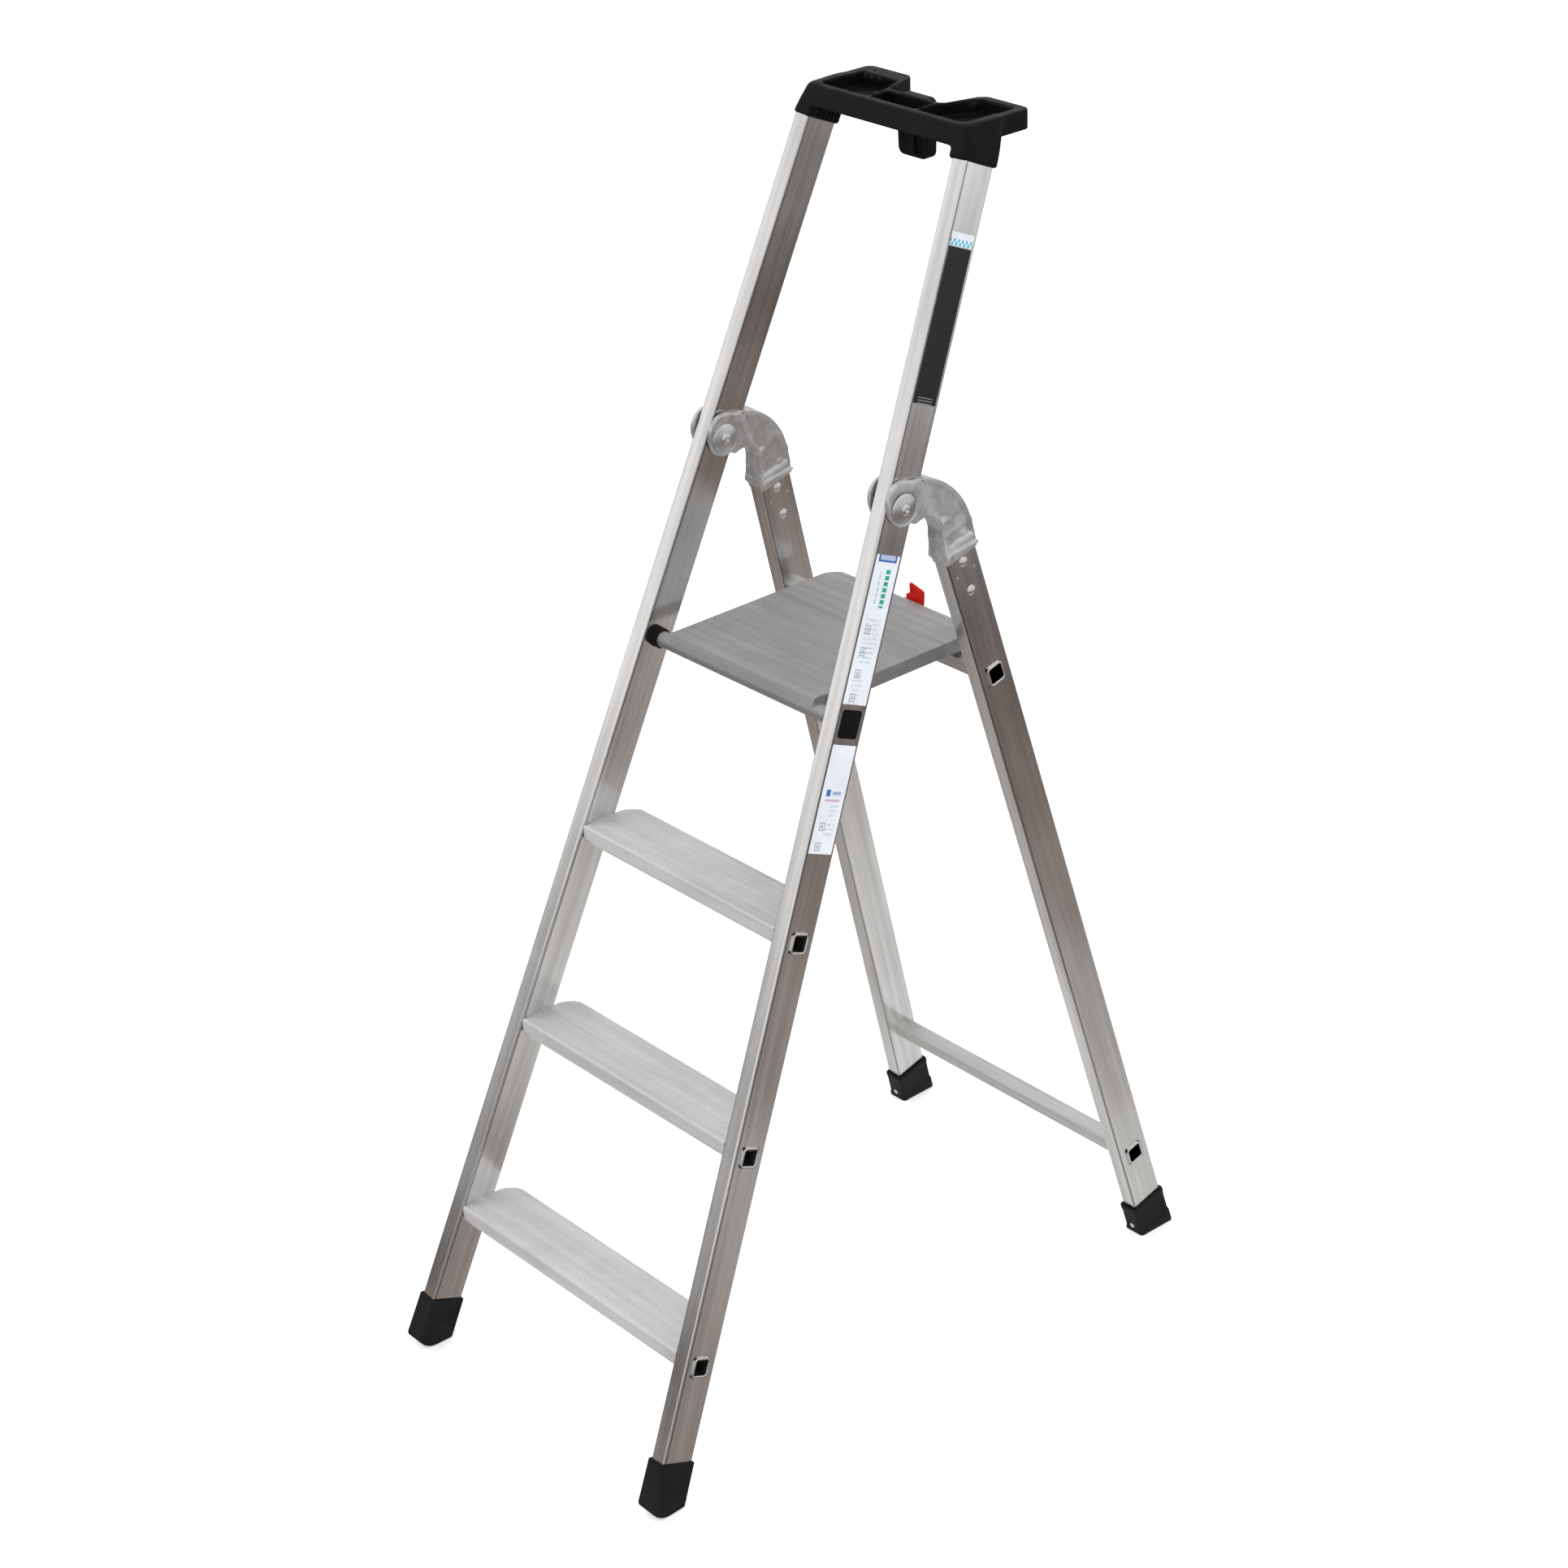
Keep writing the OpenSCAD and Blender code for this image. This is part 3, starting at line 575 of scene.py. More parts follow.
def block(p, low, high, r):
    """Rounded box between two corners."""
    gaps = []
    for axis in range(3):
        middle, half = (low[axis] + high[axis]) / 2, (high[axis] - low[axis]) / 2
        gaps.append(np.abs(p[axis] - middle) - half + r)
    outside = np.sqrt(sum(np.maximum(g, 0) ** 2 for g in gaps))
    return outside + np.minimum(np.maximum(np.maximum(gaps[0], gaps[1]), gaps[2]), 0) - r


def tube_block(p, half, grow, low, high, r):
    """Rounded block of a tube's section, grown all round, between two heights."""
    wide, deep = half[0] + grow, half[1] + grow
    return block(p, (-wide, -deep, low), (wide, deep, high), r)


def disc(u, v, at_u, at_v, r):
    return np.hypot(u - at_u, v - at_v) - r


def rectangle(u, v, half_u, half_v, corner):
    """Outline of a rectangle about the origin with round corners."""
    in_u, in_v = half_u - corner, half_v - corner
    return outline(u, v, [(-in_u, -in_v), (in_u, -in_v), (in_u, in_v), (-in_u, in_v)], corner)


def outline(u, v, points, r=0.0):
    """Signed distance to a polygon, grown by r."""
    closest = np.full(np.broadcast(u, v).shape, 1e9, np.float32)
    inside = np.zeros(closest.shape, bool)
    for (ax, ay), (bx, by) in zip(points, points[1:] + points[:1]):
        ex, ey = bx - ax, by - ay
        t = np.clip(((u - ax) * ex + (v - ay) * ey) / (ex * ex + ey * ey), 0, 1)
        closest = np.minimum(closest, np.hypot(u - ax - t * ex, v - ay - t * ey))
        crosses = (ay > v) != (by > v)
        slope = ex / ey if ey else 0.0
        inside ^= crosses & (u < ax + (v - ay) * slope)
    return np.where(inside, -closest, closest) - r


def thick(flat, w, low, high, r=0.0):
    """A flat outline made thick between low and high, its edges rounded by r."""
    side = flat + r
    end = np.abs(w - (low + high) / 2) - (high - low) / 2 + r
    outside = np.hypot(np.maximum(side, 0), np.maximum(end, 0))
    return outside + np.minimum(np.maximum(side, end), 0) - r


def surface(name, field, distance, body, material, mirror=False, adaptivity=0.02):
    """Meshes a distance field as a piece in the ladder's frame."""
    reach = 5.0
    grid = openvdb.FloatGrid(reach)
    near = np.clip(distance, -reach, reach)
    grid.copyFromArray(np.ascontiguousarray(near, dtype=np.float32))
    points, triangles, quads = grid.convertToPolygons(isovalue=0.0, adaptivity=adaptivity)
    points = points * field.cell + field.low
    turn = np.array(field.matrix, float)
    world = (points @ turn[:3, :3].T + turn[:3, 3]) * MM
    if mirror:
        world[:, 0] *= -1
    mesh = bpy.data.meshes.new(name)
    mesh.from_pydata(world.tolist(), [], quads.tolist() + triangles.tolist())
    shell = bmesh.new()
    shell.from_mesh(mesh)
    bmesh.ops.remove_doubles(shell, verts=shell.verts, dist=0.02 * MM)
    if shell.calc_volume(signed=True) < 0:
        bmesh.ops.reverse_faces(shell, faces=shell.faces)
    shell.to_mesh(mesh)
    shell.free()
    return new_piece(name, mesh, body, material)


def frame_at(axes, origin):
    """Matrix of a frame with the given axes, in millimetres."""
    turn = Matrix(axes).transposed().to_4x4()
    return Matrix.Translation(Vector(origin) / MM) @ turn


def both(make, name, nodes, body, material):
    """Builds the right-hand piece and its mirror from one field."""
    field, distance = make()
    for side, mirror in (("right", False), ("left", True)):
        piece = surface(f"{name}_{side}", field, distance, body, material, mirror)
        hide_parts(f"{nodes}_{side}")


# ---------------------------------------------------------------- replacement pieces


def right_hinge():
    """Middle of the right hinge bolt."""
    places = [v.co.x for v in CAD["hinge_bolts"].data.vertices if v.co.x > 0]
    middle = box_centre("hinge_bolts")
    return Vector((sum(places) / len(places), middle.y, middle.z))


HINGE = right_hinge()

# Distance from the hinge back to the leg's middle, and the gap round a fitted tube.
LEG_OFFSET = 63.9
FIT = 0.15


def tray_piece():
    """Tray with three pockets, two ears, a lug and sockets for the stile tops."""
    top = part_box("tool_tray")[1].z
    start = on_line("stile_right", STILE[2], top)
    centre = frame_at(UPRIGHT, (0, start.y, top))
    f = Field(centre, (-150, -50, -82), (150, 78, 3), 0.85)
    x, y, z = f.here
    ax = np.abs(x)
    depth, socket_drop, floor = 24, 49, -17.0
    in_stile = seen_in((ax, y, z), centre, frame_at(STILE, start))
    b = in_stile[1]
    bar = outline(ax, y, [(-60, -70), (140, -70), (140, 13), (-60, 13)], 5)
    ear = outline(ax, y, [(52, 4), (122.5, 4), (122.5, 61), (69, 61), (66, 58)], 11)
    ear = thick(ear, z, -depth, 0, 0.5)
    walls = (STILE_HALF[0] + 3.8, STILE_HALF[1] + 3.2)
    socket = tube_block(in_stile, walls, 0, -socket_drop, 70, 4)
    slab = join(4, thick(bar, z, -depth, 0, 0.5), socket)
    slab = common(2.5, slab, -b - walls[1])
    end_slope = 0.4
    end_face = (ax - 133.5 + end_slope * z) / math.hypot(1, end_slope)
    slab = common(9, slab, end_face + 0 * b)
    body = common(4, join(6, slab, ear), z + 0 * ax)
    middle = outline(x, y, [(-34, -14), (34, -14), (34, 8), (-34, 8)], 4)
    pocket_points = [(45, -14), (115, -14), (115, 55), (71, 55), (66, 50), (48, 8)]
    side = outline(ax, y, pocket_points, 4.5)
    shelf = np.where(x < 0, y - 47, -1.0)
    pockets = np.minimum(middle, np.maximum(side, shelf))
    body = carve(body, thick(pockets, z, floor, 30, 2.5), 2.5)
    for at in (-113, -102, -90):
        lump = disc(x, y, at, 47, 4.2)
        body = join(2, body, thick(lump, z, floor - 1, -3.5, 3))
    for at, back in ((60, 51), (-55, 8)):
        lump = disc(x, y, at, back, 5)
        body = join(3, body, thick(lump, z, floor - 1, -5, 3))
    hole = disc(x, y, -110, 58, 2.2)
    body = carve(body, thick(hole, z, -9, 5), 0.8)
    under = outline(ax, y, [(-60, -12), (88, -12), (92, 10), (-60, 10)], 2)
    body = carve(body, thick(under, z, -60, floor - 2.6, 2), 1.5)
    ear_under = outline(ax, y, [(72, 24), (122, 24), (122, 60), (76, 60)], 3)
    body = carve(body, thick(ear_under, z, -60, floor - 2.6, 2), 1.5)
    lug = thick(outline(x, z, [(-15, -63), (15, -63), (17, -10), (-17, -10)], 9), y, 12, 29, 2)
    for at, half, deep in ((-11, 2.5, 1.5), (7, 4, 5), (15, 2, 2.5)):
        lug = carve(lug, block((x, y, z), (at - half, 0, -66), (at + half, 12 + deep, -28), 1.2), 1)
    body = join(3, body, lug)
    body = carve(body, tube_block(in_stile, STILE_HALF, FIT, -80, -36, 2.5), 0.3)
    for at in range(-10, 19, 7):
        slot = block(in_stile, (-20, at - 1.6, -60), (-12.2, at + 1.6, -30), 0.8)
        body = carve(body, slot, 0.8)
    piece = surface("tray", f, body, "front_frame", "black", adaptivity=0.04)
    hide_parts("tool_tray")


def knuckle_outline(p, s, inset):
    """Side view of the knuckle: a lobe round the hinge, an arch and a tail above the leg.

    The hinge is the origin, p runs to the back across the leg and s up along it.
    """
    lobe = join(4, disc(p, s, 2, 0, 23 - inset), disc(p, s, 2, 9, 23 - inset))
    back, arch_r = 91.3, 94
    arch = np.maximum(disc(p, s, back - arch_r, -68, arch_r - inset), -(p - 9))
    arch = np.maximum(arch, -(s + 72))
    tail = [(30, -101), (back, -101), (back, -68), (30, -68)]
    whole = join(4, lobe, arch, outline(p, s, tail, -inset))
    opening = disc(p, s, 17.5, -56.5, 29 + inset)
    front_edge = [(39.2, -140), (39.2, -98), (43.5, -78), (46, -57), (10, -29)]
    below = outline(p, s, [(-80, -140), *front_edge, (-80, -25)], inset)
    return carve(whole, join(3, opening, below), 2.5)


def stile_sweep(p, s):
    """Side view of the room that the stile sweeps in the fork as the frame folds."""
    clear = STILE_HALF[1] + 2
    swing = math.radians(38.25)
    u = p * math.cos(swing) - s * math.sin(swing)
    w = p * math.sin(swing) + s * math.cos(swing)
    lower = np.maximum(np.maximum(p - clear, s), -(p + 90))
    upper = np.maximum(np.maximum(u - clear, -w), -(u + 90))
    between = np.maximum(p, -(p + 90))
    around = np.minimum(disc(p, s, 0, 0, clear), lower)
    return np.minimum(around, np.minimum(upper, between))


def knuckle_field():
    """Cast knuckle: two cheeks, a panelled arch with a rim, a lip and a sleeve."""
    f = Field(frame_at(LEG, HINGE), (-22, -30, -112), (22, 98, 38), 0.75)
    a, p, s = f.here
    cheek_out, cheek_in, body_half = 18.5, 12.9, 13.0
    flat = knuckle_outline(p, s, 0)
    over = np.abs(a) - body_half + 0.6 * np.clip((-70 - s) / 25, 0, 1)
    body = common(2.4, flat + 0 * a, over + 0 * p)
    body = common(2, body, -(s + 98) + 0 * a)
    step_at = p - 36 + 0.1 * s
    cheek = thick(flat, a, -cheek_out, cheek_out, 1.6)
    ramp = (np.abs(a) - cheek_out + 0.9 * (step_at + 5)) / 1.35
    cheek = common(2.5, cheek, ramp, step_at - 2 + 0 * a)
    body = join(4, body, cheek)
    inner = knuckle_outline(p, s, 4.2)
    inner = np.maximum(inner, -(step_at - 5))
    inner = np.maximum(inner, -(s + 87))
    depth = 2.6
    panel = common(2.5, inner + 0 * a, -over - depth)
    body = carve(body, panel, 2.5)
    for at_p, at_s, r in ((54, -54, 5.5), (77, -84, 4.6)):
        bump = np.sqrt((p - at_p) ** 2 + (s - at_s) ** 2 + ((over + depth + 2.6) * 1.2) ** 2)
        body = join(3, body, bump - r)
    rim = np.abs(knuckle_outline(p, s, 1.6)) - 1.0
    rim = np.maximum(np.maximum(rim, -(step_at - 3)), -(s + 92))
    body = join(1.5, body, common(1, rim + 0 * a, over - 0.9))
    front, back = LEG_OFFSET - LEG_HALF[1], LEG_OFFSET + LEG_HALF[1]
    ledge = (a, p, s + (p - 64) * 0.12)
    lip = block(ledge, (-15.6, front + 3, -100.6), (15.6, back + 3.6, -95.4), 2.5)
    sleeve = block((a, p, s), (-12.7, front - 0.4, -107.3), (12.7, back + 1.8, -90), 1.6)
    body = join(1.5, body, sleeve)
    body = join(0.8, body, lip)
    leg = tube_block((a, p - LEG_OFFSET, s), LEG_HALF, FIT, -130, -101.1, 2.5)
    body = carve(body, leg, 0.2)
    body = carve(body, thick(stile_sweep(p, s), a, -cheek_in, cheek_in, 0.6), 0.8)
    seat = disc(p, s, 0, 0, 19.2)
    for side in (-1, 1):
        body = carve(body, thick(seat, a * side, 17.4, 40), 0.5)
    return f, body


def front_boot_field():
    """Front boot: a tapered sleeve with two grooves and a sole that is round in front."""
    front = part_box("front_foot_right")[0].y / MM
    ground = on_line("stile_right", STILE[2], 0)
    f = Field(frame_at(STILE, ground), (-24, -36, -20), (24, 36, 72), 0.7)
    a, b, c = f.here
    gy, gz = seen_in(f.here, f.matrix)[1:]
    section = rectangle(a, b, STILE_HALF[0] + 3.9, STILE_HALF[1] + 3.6, 4)
    skin = section - (np.clip((70 - c) / 90, 0, 1) * 0.9 - 0.7)
    shell = thick(skin, c, -60, 67, 1.4)
    sole_r, rise = 28.0, 19.0
    arc_y = front + math.sqrt(sole_r**2 - (sole_r - rise) ** 2)
    arc = disc(gy, gz, arc_y, sole_r, sole_r)
    sole = np.minimum(arc, np.where(gy > arc_y, -gz, 1e3))
    sole = np.minimum(sole, -(gz - sole_r))
    shell = common(2.5, shell, sole)
    for level in (6, 12):
        groove = np.maximum(np.abs(gz - level) - 0.5, np.abs(skin) - 0.5)
        shell = carve(shell, groove, 0.4)
    shell = carve(shell, tube_block(f.here, STILE_HALF, FIT, 20, 90, 2.4), 0.4)
    mouth = tube_block(f.here, STILE_HALF, 1.6, 65.6, 90, 3.6)
    return f, carve(shell, mouth, 1.0)


def rear_boot_field():
    """Rear boot: a thick top rim, a flared foot with a flat sole and a recess for the peg."""
    ground = on_line("rear_leg_right", LEG[2], 0)
    f = Field(frame_at(LEG, ground), (-24, -38, -16), (24, 38, 58), 0.7)
    a, b, c = f.here
    gz = seen_in(f.here, f.matrix)[2]
    half_w, half_d = LEG_HALF[0] + 3.5, LEG_HALF[1] + 3.6
    section = rectangle(a, b, half_w, half_d, 4)
    shell = thick(section + 0.6, c, -60, 52, 1.2)
    shell = join(2, shell, thick(section, c, 44.5, 52, 1.6))
    shell = join(5, shell, thick(section, c, -60, 12, 2))
    shell = common(2.5, shell, -gz)
    recess = disc(a, c, 0, 20, 4.6)
    front = block(f.here, (-30, -half_d - 5, 0), (30, -half_d + 1.2, 45), 0.2)
    shell = carve(shell, np.maximum(recess, front), 0.8)
    shell = carve(shell, tube_block(f.here, LEG_HALF, FIT, 12, 90, 2.4), 0.4)
    mouth = tube_block(f.here, LEG_HALF, 1.4, 50.8, 90, 3.6)
    return f, carve(shell, mouth, 0.9)


def bush_field():
    """Knurled bush between the platform and the stile, cut to the stile's inner face."""
    low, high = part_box("pivot_bush_right")
    length = (high.x - low.x) / MM
    origin = Vector((low.x, (low.y + high.y) / 2, (low.z + high.z) / 2))
    f = Field(frame_at(UPRIGHT, origin), (-1, -17, -17), (length + 3, 17, 17), 0.4)
    x, y, z = f.here
    r_out = (high.y - low.y) / 2 / MM
    r = np.hypot(y, z)
    angle = np.arctan2(z, y)
    barrel = thick(r - r_out + 1.4, x, 0, 40, 0.8)
    rim = thick(r - r_out, x, 0, 3.6, 1.0)
    teeth = np.cos(angle * 16) * 0.9
    knurl = thick(r - r_out + 0.4 - teeth, x, 5, 40, 0.4)
    shape = join(0.8, barrel, rim, knurl)
    stile = frame_at(STILE, on_line("stile_right", STILE[2], origin.z))
    a = seen_in(f.here, f.matrix, stile)[0]
    shape = common(0.5, shape, a + STILE_HALF[0] + 0.05)
    bore = thick(r - 6.1, x, -5, 60)
    return f, carve(shape, bore, 0.8)


def cap_field():
    """Square cap over the pivot's end, with a low crown."""
    origin = on_line("stile_right", STILE[2], box_centre("pivot_cap_right").z)
    f = Field(frame_at(STILE, origin), (9, -20, -22), (17, 20, 22), 0.3)
    a, b, c = f.here
    face = STILE_HALF[0] - 0.45
    base = rectangle(b, c, 15, 17, 4)
    plate = thick(base, a, face, face + 2.05, 0.9)
    crown = np.sqrt((a + 38) ** 2 + (b * 0.9) ** 2 + (c * 0.75) ** 2) - 52.2
    dome = common(1.2, thick(base + 2.2, a, face, 16, 0.5), crown)
    return f, join(1.0, plate, dome)


def skin_rings(shell, rings, closed):
    """Faces between rings of vertices; a ring of one vertex is a pole."""
    following = rings[1:] + rings[:1] if closed else rings[1:]
    for low, high in zip(rings, following):
        steps = max(len(low), len(high))
        for i in range(steps):
            k = (i + 1) % steps
            corners = [low[i % len(low)], low[k % len(low)], high[k % len(high)], high[i % len(high)]]
            shell.faces.new(dict.fromkeys(corners))
    bmesh.ops.recalc_face_normals(shell, faces=shell.faces)


def lathe(name, profile, matrix, body, material, steps, mirror):
    """Turns a profile of (radius, height) pairs, in millimetres, about the matrix's Z axis."""
    shell = bmesh.new()
    rings = []
    for radius, height in profile:
        angles = [2 * math.pi * i / steps for i in range(steps if radius else 1)]
        ring = [Vector((radius * math.cos(t), radius * math.sin(t), height)) for t in angles]
        rings.append([shell.verts.new(matrix @ p * MM) for p in ring])
    if mirror:
        bmesh.ops.scale(shell, vec=(-1, 1, 1), verts=shell.verts)
    skin_rings(shell, rings, profile[0][0] > 0)
    mesh = bpy.data.meshes.new(name)
    shell.to_mesh(mesh)
    shell.free()
    return new_piece(name, mesh, body, material)


def tube_end(node, axes):
    """Middle of a cross tube's right end face, in millimetres."""
    x_axis, y_axis, z_axis = axes
    points = [v.co / MM for v in CAD[node].data.vertices]
    reach = max(point.dot(x_axis) for point in points)
    ring = [point for point in points if point.x > 0 and point.dot(x_axis) > reach - 0.3]
    middle = x_axis * reach
    for axis in (y_axis, z_axis):
        places = [point.dot(axis) for point in ring]
        middle += axis * (min(places) + max(places)) / 2
    return middle


def square_loop(half, corner, out):
    """Points of a square with round corners, grown by out, in its own plane."""
    corner_steps = 8
    loop = []
    for quarter, (side_u, side_v) in enumerate(((1, 1), (-1, 1), (-1, -1), (1, -1))):
        for step in range(corner_steps + 1):
            angle = math.pi / 2 * (quarter + step / corner_steps)
            u = side_u * (half - corner) + (corner + out) * math.cos(angle)
            v = side_v * (half - corner) + (corner + out) * math.sin(angle)
            loop.append((u, v))
    return loop


def swaged_lips(node, axes, body):
    """Rolled square lips round the open ends of a cross tube."""
    x_axis, y_axis, z_axis = axes
    centre = tube_end(node, axes) - x_axis * 1.8
    half, corner = 9.4, 2.0
    profile = [(0, -1.6), (0.1, 0.6), (0.5, 1.7), (1.2, 2.5), (2.0, 2.75), (2.8, 2.5)]
    profile += [(3.6, 1.6), (4.0, 0.6), (4.05, 0.02)]
    for side, mirror in (("right", 1), ("left", -1)):
        shell = bmesh.new()
        rings = []
        for out, height in profile:
            ring = []
            for u, v in square_loop(half, corner, out):
                spot = (centre + x_axis * height + y_axis * u + z_axis * v) * MM
                ring.append(shell.verts.new((spot.x * mirror, spot.y, spot.z)))
            rings.append(ring)
        skin_rings(shell, rings, True)
        name = f"lip_{node}_{side}"
        mesh = bpy.data.meshes.new(name)
        shell.to_mesh(mesh)
        shell.free()
        new_piece(name, mesh, body, "lip")


def hinge_hardware():
    """Domed washers and button heads on both faces of each knuckle."""
    dome = [(5, 0.1), (18.2, 0.1), (18.5, 0.5), (18.2, 1.0)]
    dome += [(r, 4.2 - 3.1 * (r / 18.5) ** 2) for r in (17, 15, 13, 11, 9, 7.5, 6.3, 5)]
    washer_height = 2.5
    face = (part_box("hinge_washers")[1].x - HINGE.x) / MM - washer_height
    head = [(0, -face), (4.9, -face), (4.9, 2.4), (6.6, 2.6), (6.9, 3.4)]
    head += [(6.8 * math.cos(t), 3.6 + 2.9 * math.sin(t)) for t in (0.1, 0.4, 0.7, 0.95, 1.1)]
    head += [(2.9, 6.15), (2.6, 5.9), (2.5, 3.6), (0, 3.2)]
    for side, mirror in (("right", False), ("left", True)):
        for end, sign in (("outer", 1), ("inner", -1)):
            place = HINGE / MM + X_AXIS * sign * face
            turn = Matrix.Rotation(math.radians(90 * sign), 4, "Y")
            seat = Matrix.Translation(place) @ turn
            washer = lathe(f"washer_{side}_{end}", dome, seat, "front_frame", "washer", 64, mirror)
            bolt = lathe(f"bolt_{side}_{end}", head, seat, "front_frame", "plated", 48, mirror)
            if (side, end) == ("right", "outer"):
                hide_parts("hinge_washers")
                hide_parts("hinge_bolts")


def catch_piece():
    """Red catch: a dished thumb tab and stem on a hub, with a ribbed arm and hook below."""
    low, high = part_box("catch_lever")
    pin = box_centre("catch_pin")
    origin = Vector(((low.x + high.x) / 2, pin.y, pin.z))
    f = Field(frame_at(UPRIGHT, origin), (-24, -32, -44), (24, 12, 36), 0.5)
    x, y, z = f.here
    half = (high.x - low.x) / 2 / MM
    tab_right, tab_left = half, half - 25
    swing = math.radians(20)
    dish = y - 1 + 0.0036 * (z - 16) ** 2 + 0.0024 * (x - tab_left - 12) ** 2
    tab_points = [(tab_left + 3, 11), (tab_right - 4, 9), (tab_right - 3, 24), (tab_left + 3, 29)]
    tab = thick(outline(x, z, tab_points, 3), dish, -1.8, 1.8, 1.4)
    stem = outline(x, z, [(-11, -2), (3, -2), (3, 14), (-10, 14)], 2)
    stem = thick(stem, y, -1.6, 2.6, 1.2)
    foot = block((x, y, z), (-half + 1, -2.2, 3.5), (tab_left + 4, 2.4, 8), 1.6)
    hub = thick(np.hypot(y, z) - 4.5, x, -half, half - 9, 1.0)
    u = y * math.cos(swing) + z * math.sin(swing)
    w = -y * math.sin(swing) + z * math.cos(swing)
    arm = block((x, u, w), (-half + 1, -3, -38), (-half + 15, 4, 0), 1.6)
    hook = block((x, u, w), (-half + 1, -36, -38), (-half + 15, 4, -33), 1.8)
    rib = block((x, u, w), (-half + 6.5, -1.5, -34), (-half + 9.5, 6, -6), 1.2)
    shape = join(4, tab, stem)
    shape = join(2.5, shape, hub, foot, arm)
    shape = join(3, shape, hook)
    shape = carve(shape, np.hypot(y, z) - 2.6 + 0 * x, 0.6)
    piece = surface("catch_tab", f, shape, "catch", "red")
    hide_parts("catch_lever")


for finish, nodes in FINISHED_NODES.items():
    for node in nodes:
        refine(node)
        paint(CAD[node], finish)

tray_piece()
both(knuckle_field, "knuckle_cast", "knuckle", "rear_frame", "cast")
both(front_boot_field, "front_boot", "front_foot", "front_frame", "rubber")
both(rear_boot_field, "rear_boot", "rear_foot", "rear_frame", "rubber")
both(bush_field, "bush", "pivot_bush", "front_frame", "black")
both(cap_field, "cap", "pivot_cap", "front_frame", "black")
catch_piece()
hinge_hardware()
for node in ("tread_1", "tread_2", "tread_3"):
    swaged_lips(node, STILE, "front_frame")
for node in ("upper_crossbar", "lower_brace"):
    swaged_lips(node, LEG, "rear_frame")


# ---------------------------------------------------------------- floor, light, camera


def stage_plane(name, half, height):
    mesh = bpy.data.meshes.new(name)
    corners = [(-half, -half), (half, -half), (half, half), (-half, half)]
    mesh.from_pydata([(x, y, height) for x, y in corners], [], [(0, 1, 2, 3)])
    obj = bpy.data.objects.new(name, mesh)
    SCENE.collection.objects.link(obj)
    return obj


def pale_floor():
    """Plain floor for the camera and for soft light; the metal doesn't see it."""
    obj = stage_plane("floor", 40, 0)
    g = Graph("floor_pale")
    g.set(Base_Color=(0.86, 0.86, 0.86, 1), Roughness=0.8, Specular_IOR_Level=0.1)
    g.set(Emission_Color=(1, 1, 1, 1), Emission_Strength=0.42)
    obj.data.materials.append(g.mat)
    obj.visible_glossy = False


def fill_ramp(ramp, stops):
    elements = ramp.elements
    while len(elements) < len(stops):
        elements.new(0.5)
    for element, (at, colour) in zip(elements, stops):
        element.position = at
        element.color = colour


def studio_floor_reflection():
    """Floor as the bright metal sees it: pale near the ladder, brown further out, then pale."""
    obj = stage_plane("floor_reflected", 14, -0.001)
    g = Graph("floor_reflected")
    middle = (-0.05, 0.62, 0)
    ramp_length = 8.0
    place = g.node("ShaderNodeNewGeometry").outputs["Position"]
    centre = g.node(
        "ShaderNodeVectorMath", {0: place, 1: middle}, operation="SUBTRACT"
    ).outputs[0]
    reach = g.node("ShaderNodeVectorMath", {0: centre}, operation="LENGTH").outputs["Value"]
    cloud = g.noise(place, 1.3, 4, 0.6)
    reach = g.math("ADD", reach, g.span(cloud, 0.3, 0.7, -0.35, 0.35))
    ramp = g.node("ShaderNodeValToRGB", {"Fac": g.math("DIVIDE", reach, ramp_length)})
    stops = [
        (0.0, (0.68, 0.675, 0.67, 1)),
        (0.06, (0.56, 0.55, 0.535, 1)),
        (0.13, (0.27, 0.24, 0.222, 1)),
        (0.22, (0.2, 0.165, 0.145, 1)),
        (0.33, (0.1, 0.085, 0.077, 1)),
        (0.41, (0.19, 0.178, 0.172, 1)),
        (0.52, (0.3, 0.29, 0.288, 1)),
        (0.72, (0.6, 0.59, 0.58, 1)),
        (1.0, (0.95, 0.95, 0.95, 1)),
    ]
    fill_ramp(ramp.color_ramp, stops)
    front_left = (-0.62, -0.78, 0)
    ahead = g.node(
        "ShaderNodeVectorMath", {0: place, 1: front_left}, operation="DOT_PRODUCT"
    ).outputs["Value"]
    strength = g.span(ahead, 1.2, 2.6, 1.0, 0.35)
    glow = g.node("ShaderNodeEmission", {"Color": ramp.outputs[0], "Strength": strength})
    output = g.tree.nodes["Material Output"]
    g.tree.links.new(glow.outputs[0], output.inputs["Surface"])
    obj.data.materials.append(g.mat)
    obj.visible_camera = False
    obj.visible_diffuse = False
    obj.visible_shadow = False
    obj.visible_transmission = False


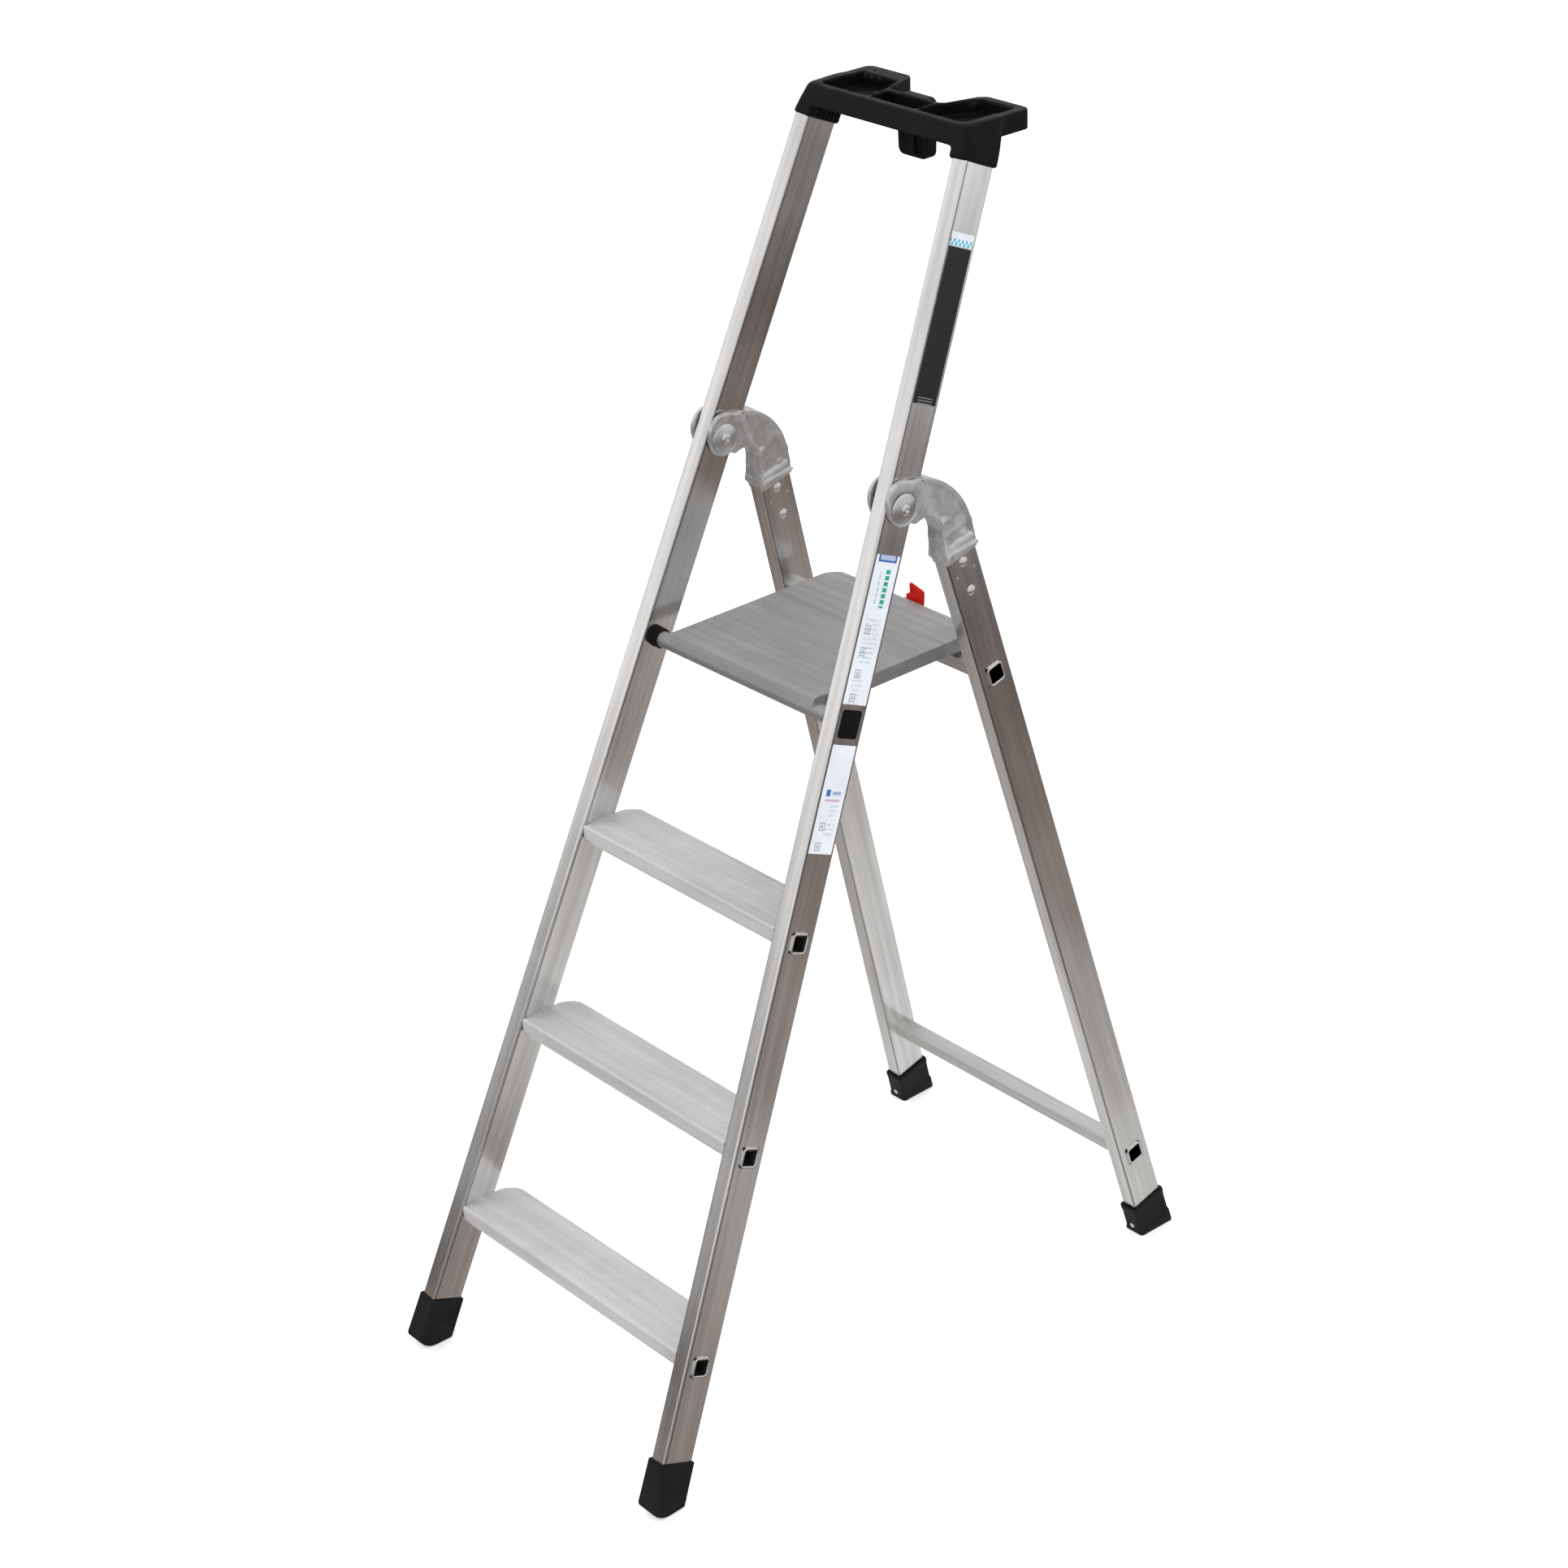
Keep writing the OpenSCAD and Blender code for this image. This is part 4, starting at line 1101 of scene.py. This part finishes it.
def studio_world():
    """White studio; the metal sees walls that are dark low down and pale above."""
    world = bpy.data.worlds.new("studio")
    SCENE.world = world
    world.use_nodes = True
    tree = world.node_tree
    tree.nodes.clear()
    new = tree.nodes.new
    link = tree.links.new
    path = new("ShaderNodeLightPath")
    place = new("ShaderNodeTexCoord")
    split = new("ShaderNodeSeparateXYZ")
    link(place.outputs["Generated"], split.inputs[0])
    ramp = new("ShaderNodeValToRGB")
    brightness = [
        (0.0, 0.12),
        (0.5, 0.3),
        (0.515, 0.34),
        (0.54, 0.86),
        (0.57, 0.9),
        (0.62, 0.74),
        (0.70, 0.66),
        (0.80, 0.7),
        (1.0, 0.9),
    ]
    lift = new("ShaderNodeMapRange")
    lift.inputs["From Min"].default_value = -1
    link(split.outputs["Z"], lift.inputs["Value"])
    link(lift.outputs[0], ramp.inputs["Fac"])
    stops = [(at, (value, value * 0.995, value * 0.985, 1)) for at, value in brightness]
    fill_ramp(ramp.color_ramp, stops)
    seen = new("ShaderNodeBackground")
    link(ramp.outputs[0], seen.inputs["Color"])
    plain = new("ShaderNodeBackground")
    plain.inputs["Color"].default_value = (1, 1, 1, 1)
    choose = new("ShaderNodeMixShader")
    link(path.outputs["Is Glossy Ray"], choose.inputs["Fac"])
    link(plain.outputs[0], choose.inputs[1])
    link(seen.outputs[0], choose.inputs[2])
    output = new("ShaderNodeOutputWorld")
    link(choose.outputs[0], output.inputs["Surface"])


def soft_lamp(name, place, size, power, target=(0, 0, 0.8)):
    """Square lamp for soft light and shade; the metal doesn't mirror it."""
    data = bpy.data.lights.new(name, "AREA")
    data.shape = "SQUARE"
    data.size = size
    data.energy = power
    lamp = bpy.data.objects.new(name, data)
    SCENE.collection.objects.link(lamp)
    lamp.location = place
    lamp.rotation_mode = "QUATERNION"
    lamp.rotation_quaternion = (Vector(place) - Vector(target)).to_track_quat("Z", "Y")
    lamp.visible_glossy = False


def main_camera():
    """Camera above and to the right of the ladder, looking down its front."""
    azimuth, drop, roll = (math.radians(a) for a in (49.36, 27.46, -2.017))
    place = Vector((2.7614, -2.36548, 2.6214))
    level = Vector((math.cos(azimuth), math.sin(azimuth), 0))
    onward = Vector((-math.sin(azimuth), math.cos(azimuth), 0))
    ahead = onward * math.cos(drop) - Z_AXIS * math.sin(drop)
    above = level.cross(ahead)
    right = math.cos(roll) * level + math.sin(roll) * above
    up = -math.sin(roll) * level + math.cos(roll) * above
    data = bpy.data.cameras.new("camera")
    data.sensor_width = 36
    data.lens = 77.84
    camera = bpy.data.objects.new("camera", data)
    SCENE.collection.objects.link(camera)
    turn = Matrix((right, up, -ahead)).transposed().to_4x4()
    camera.matrix_world = Matrix.Translation(place) @ turn
    SCENE.camera = camera


pale_floor()
studio_floor_reflection()
studio_world()
soft_lamp("key", (-2.6, -2.4, 3.4), 2.0, 60)
soft_lamp("back", (-1.5, 3.0, 3.0), 1.6, 25)
main_camera()

SCENE.view_settings.view_transform = "Standard"
SCENE.view_settings.look = "None"
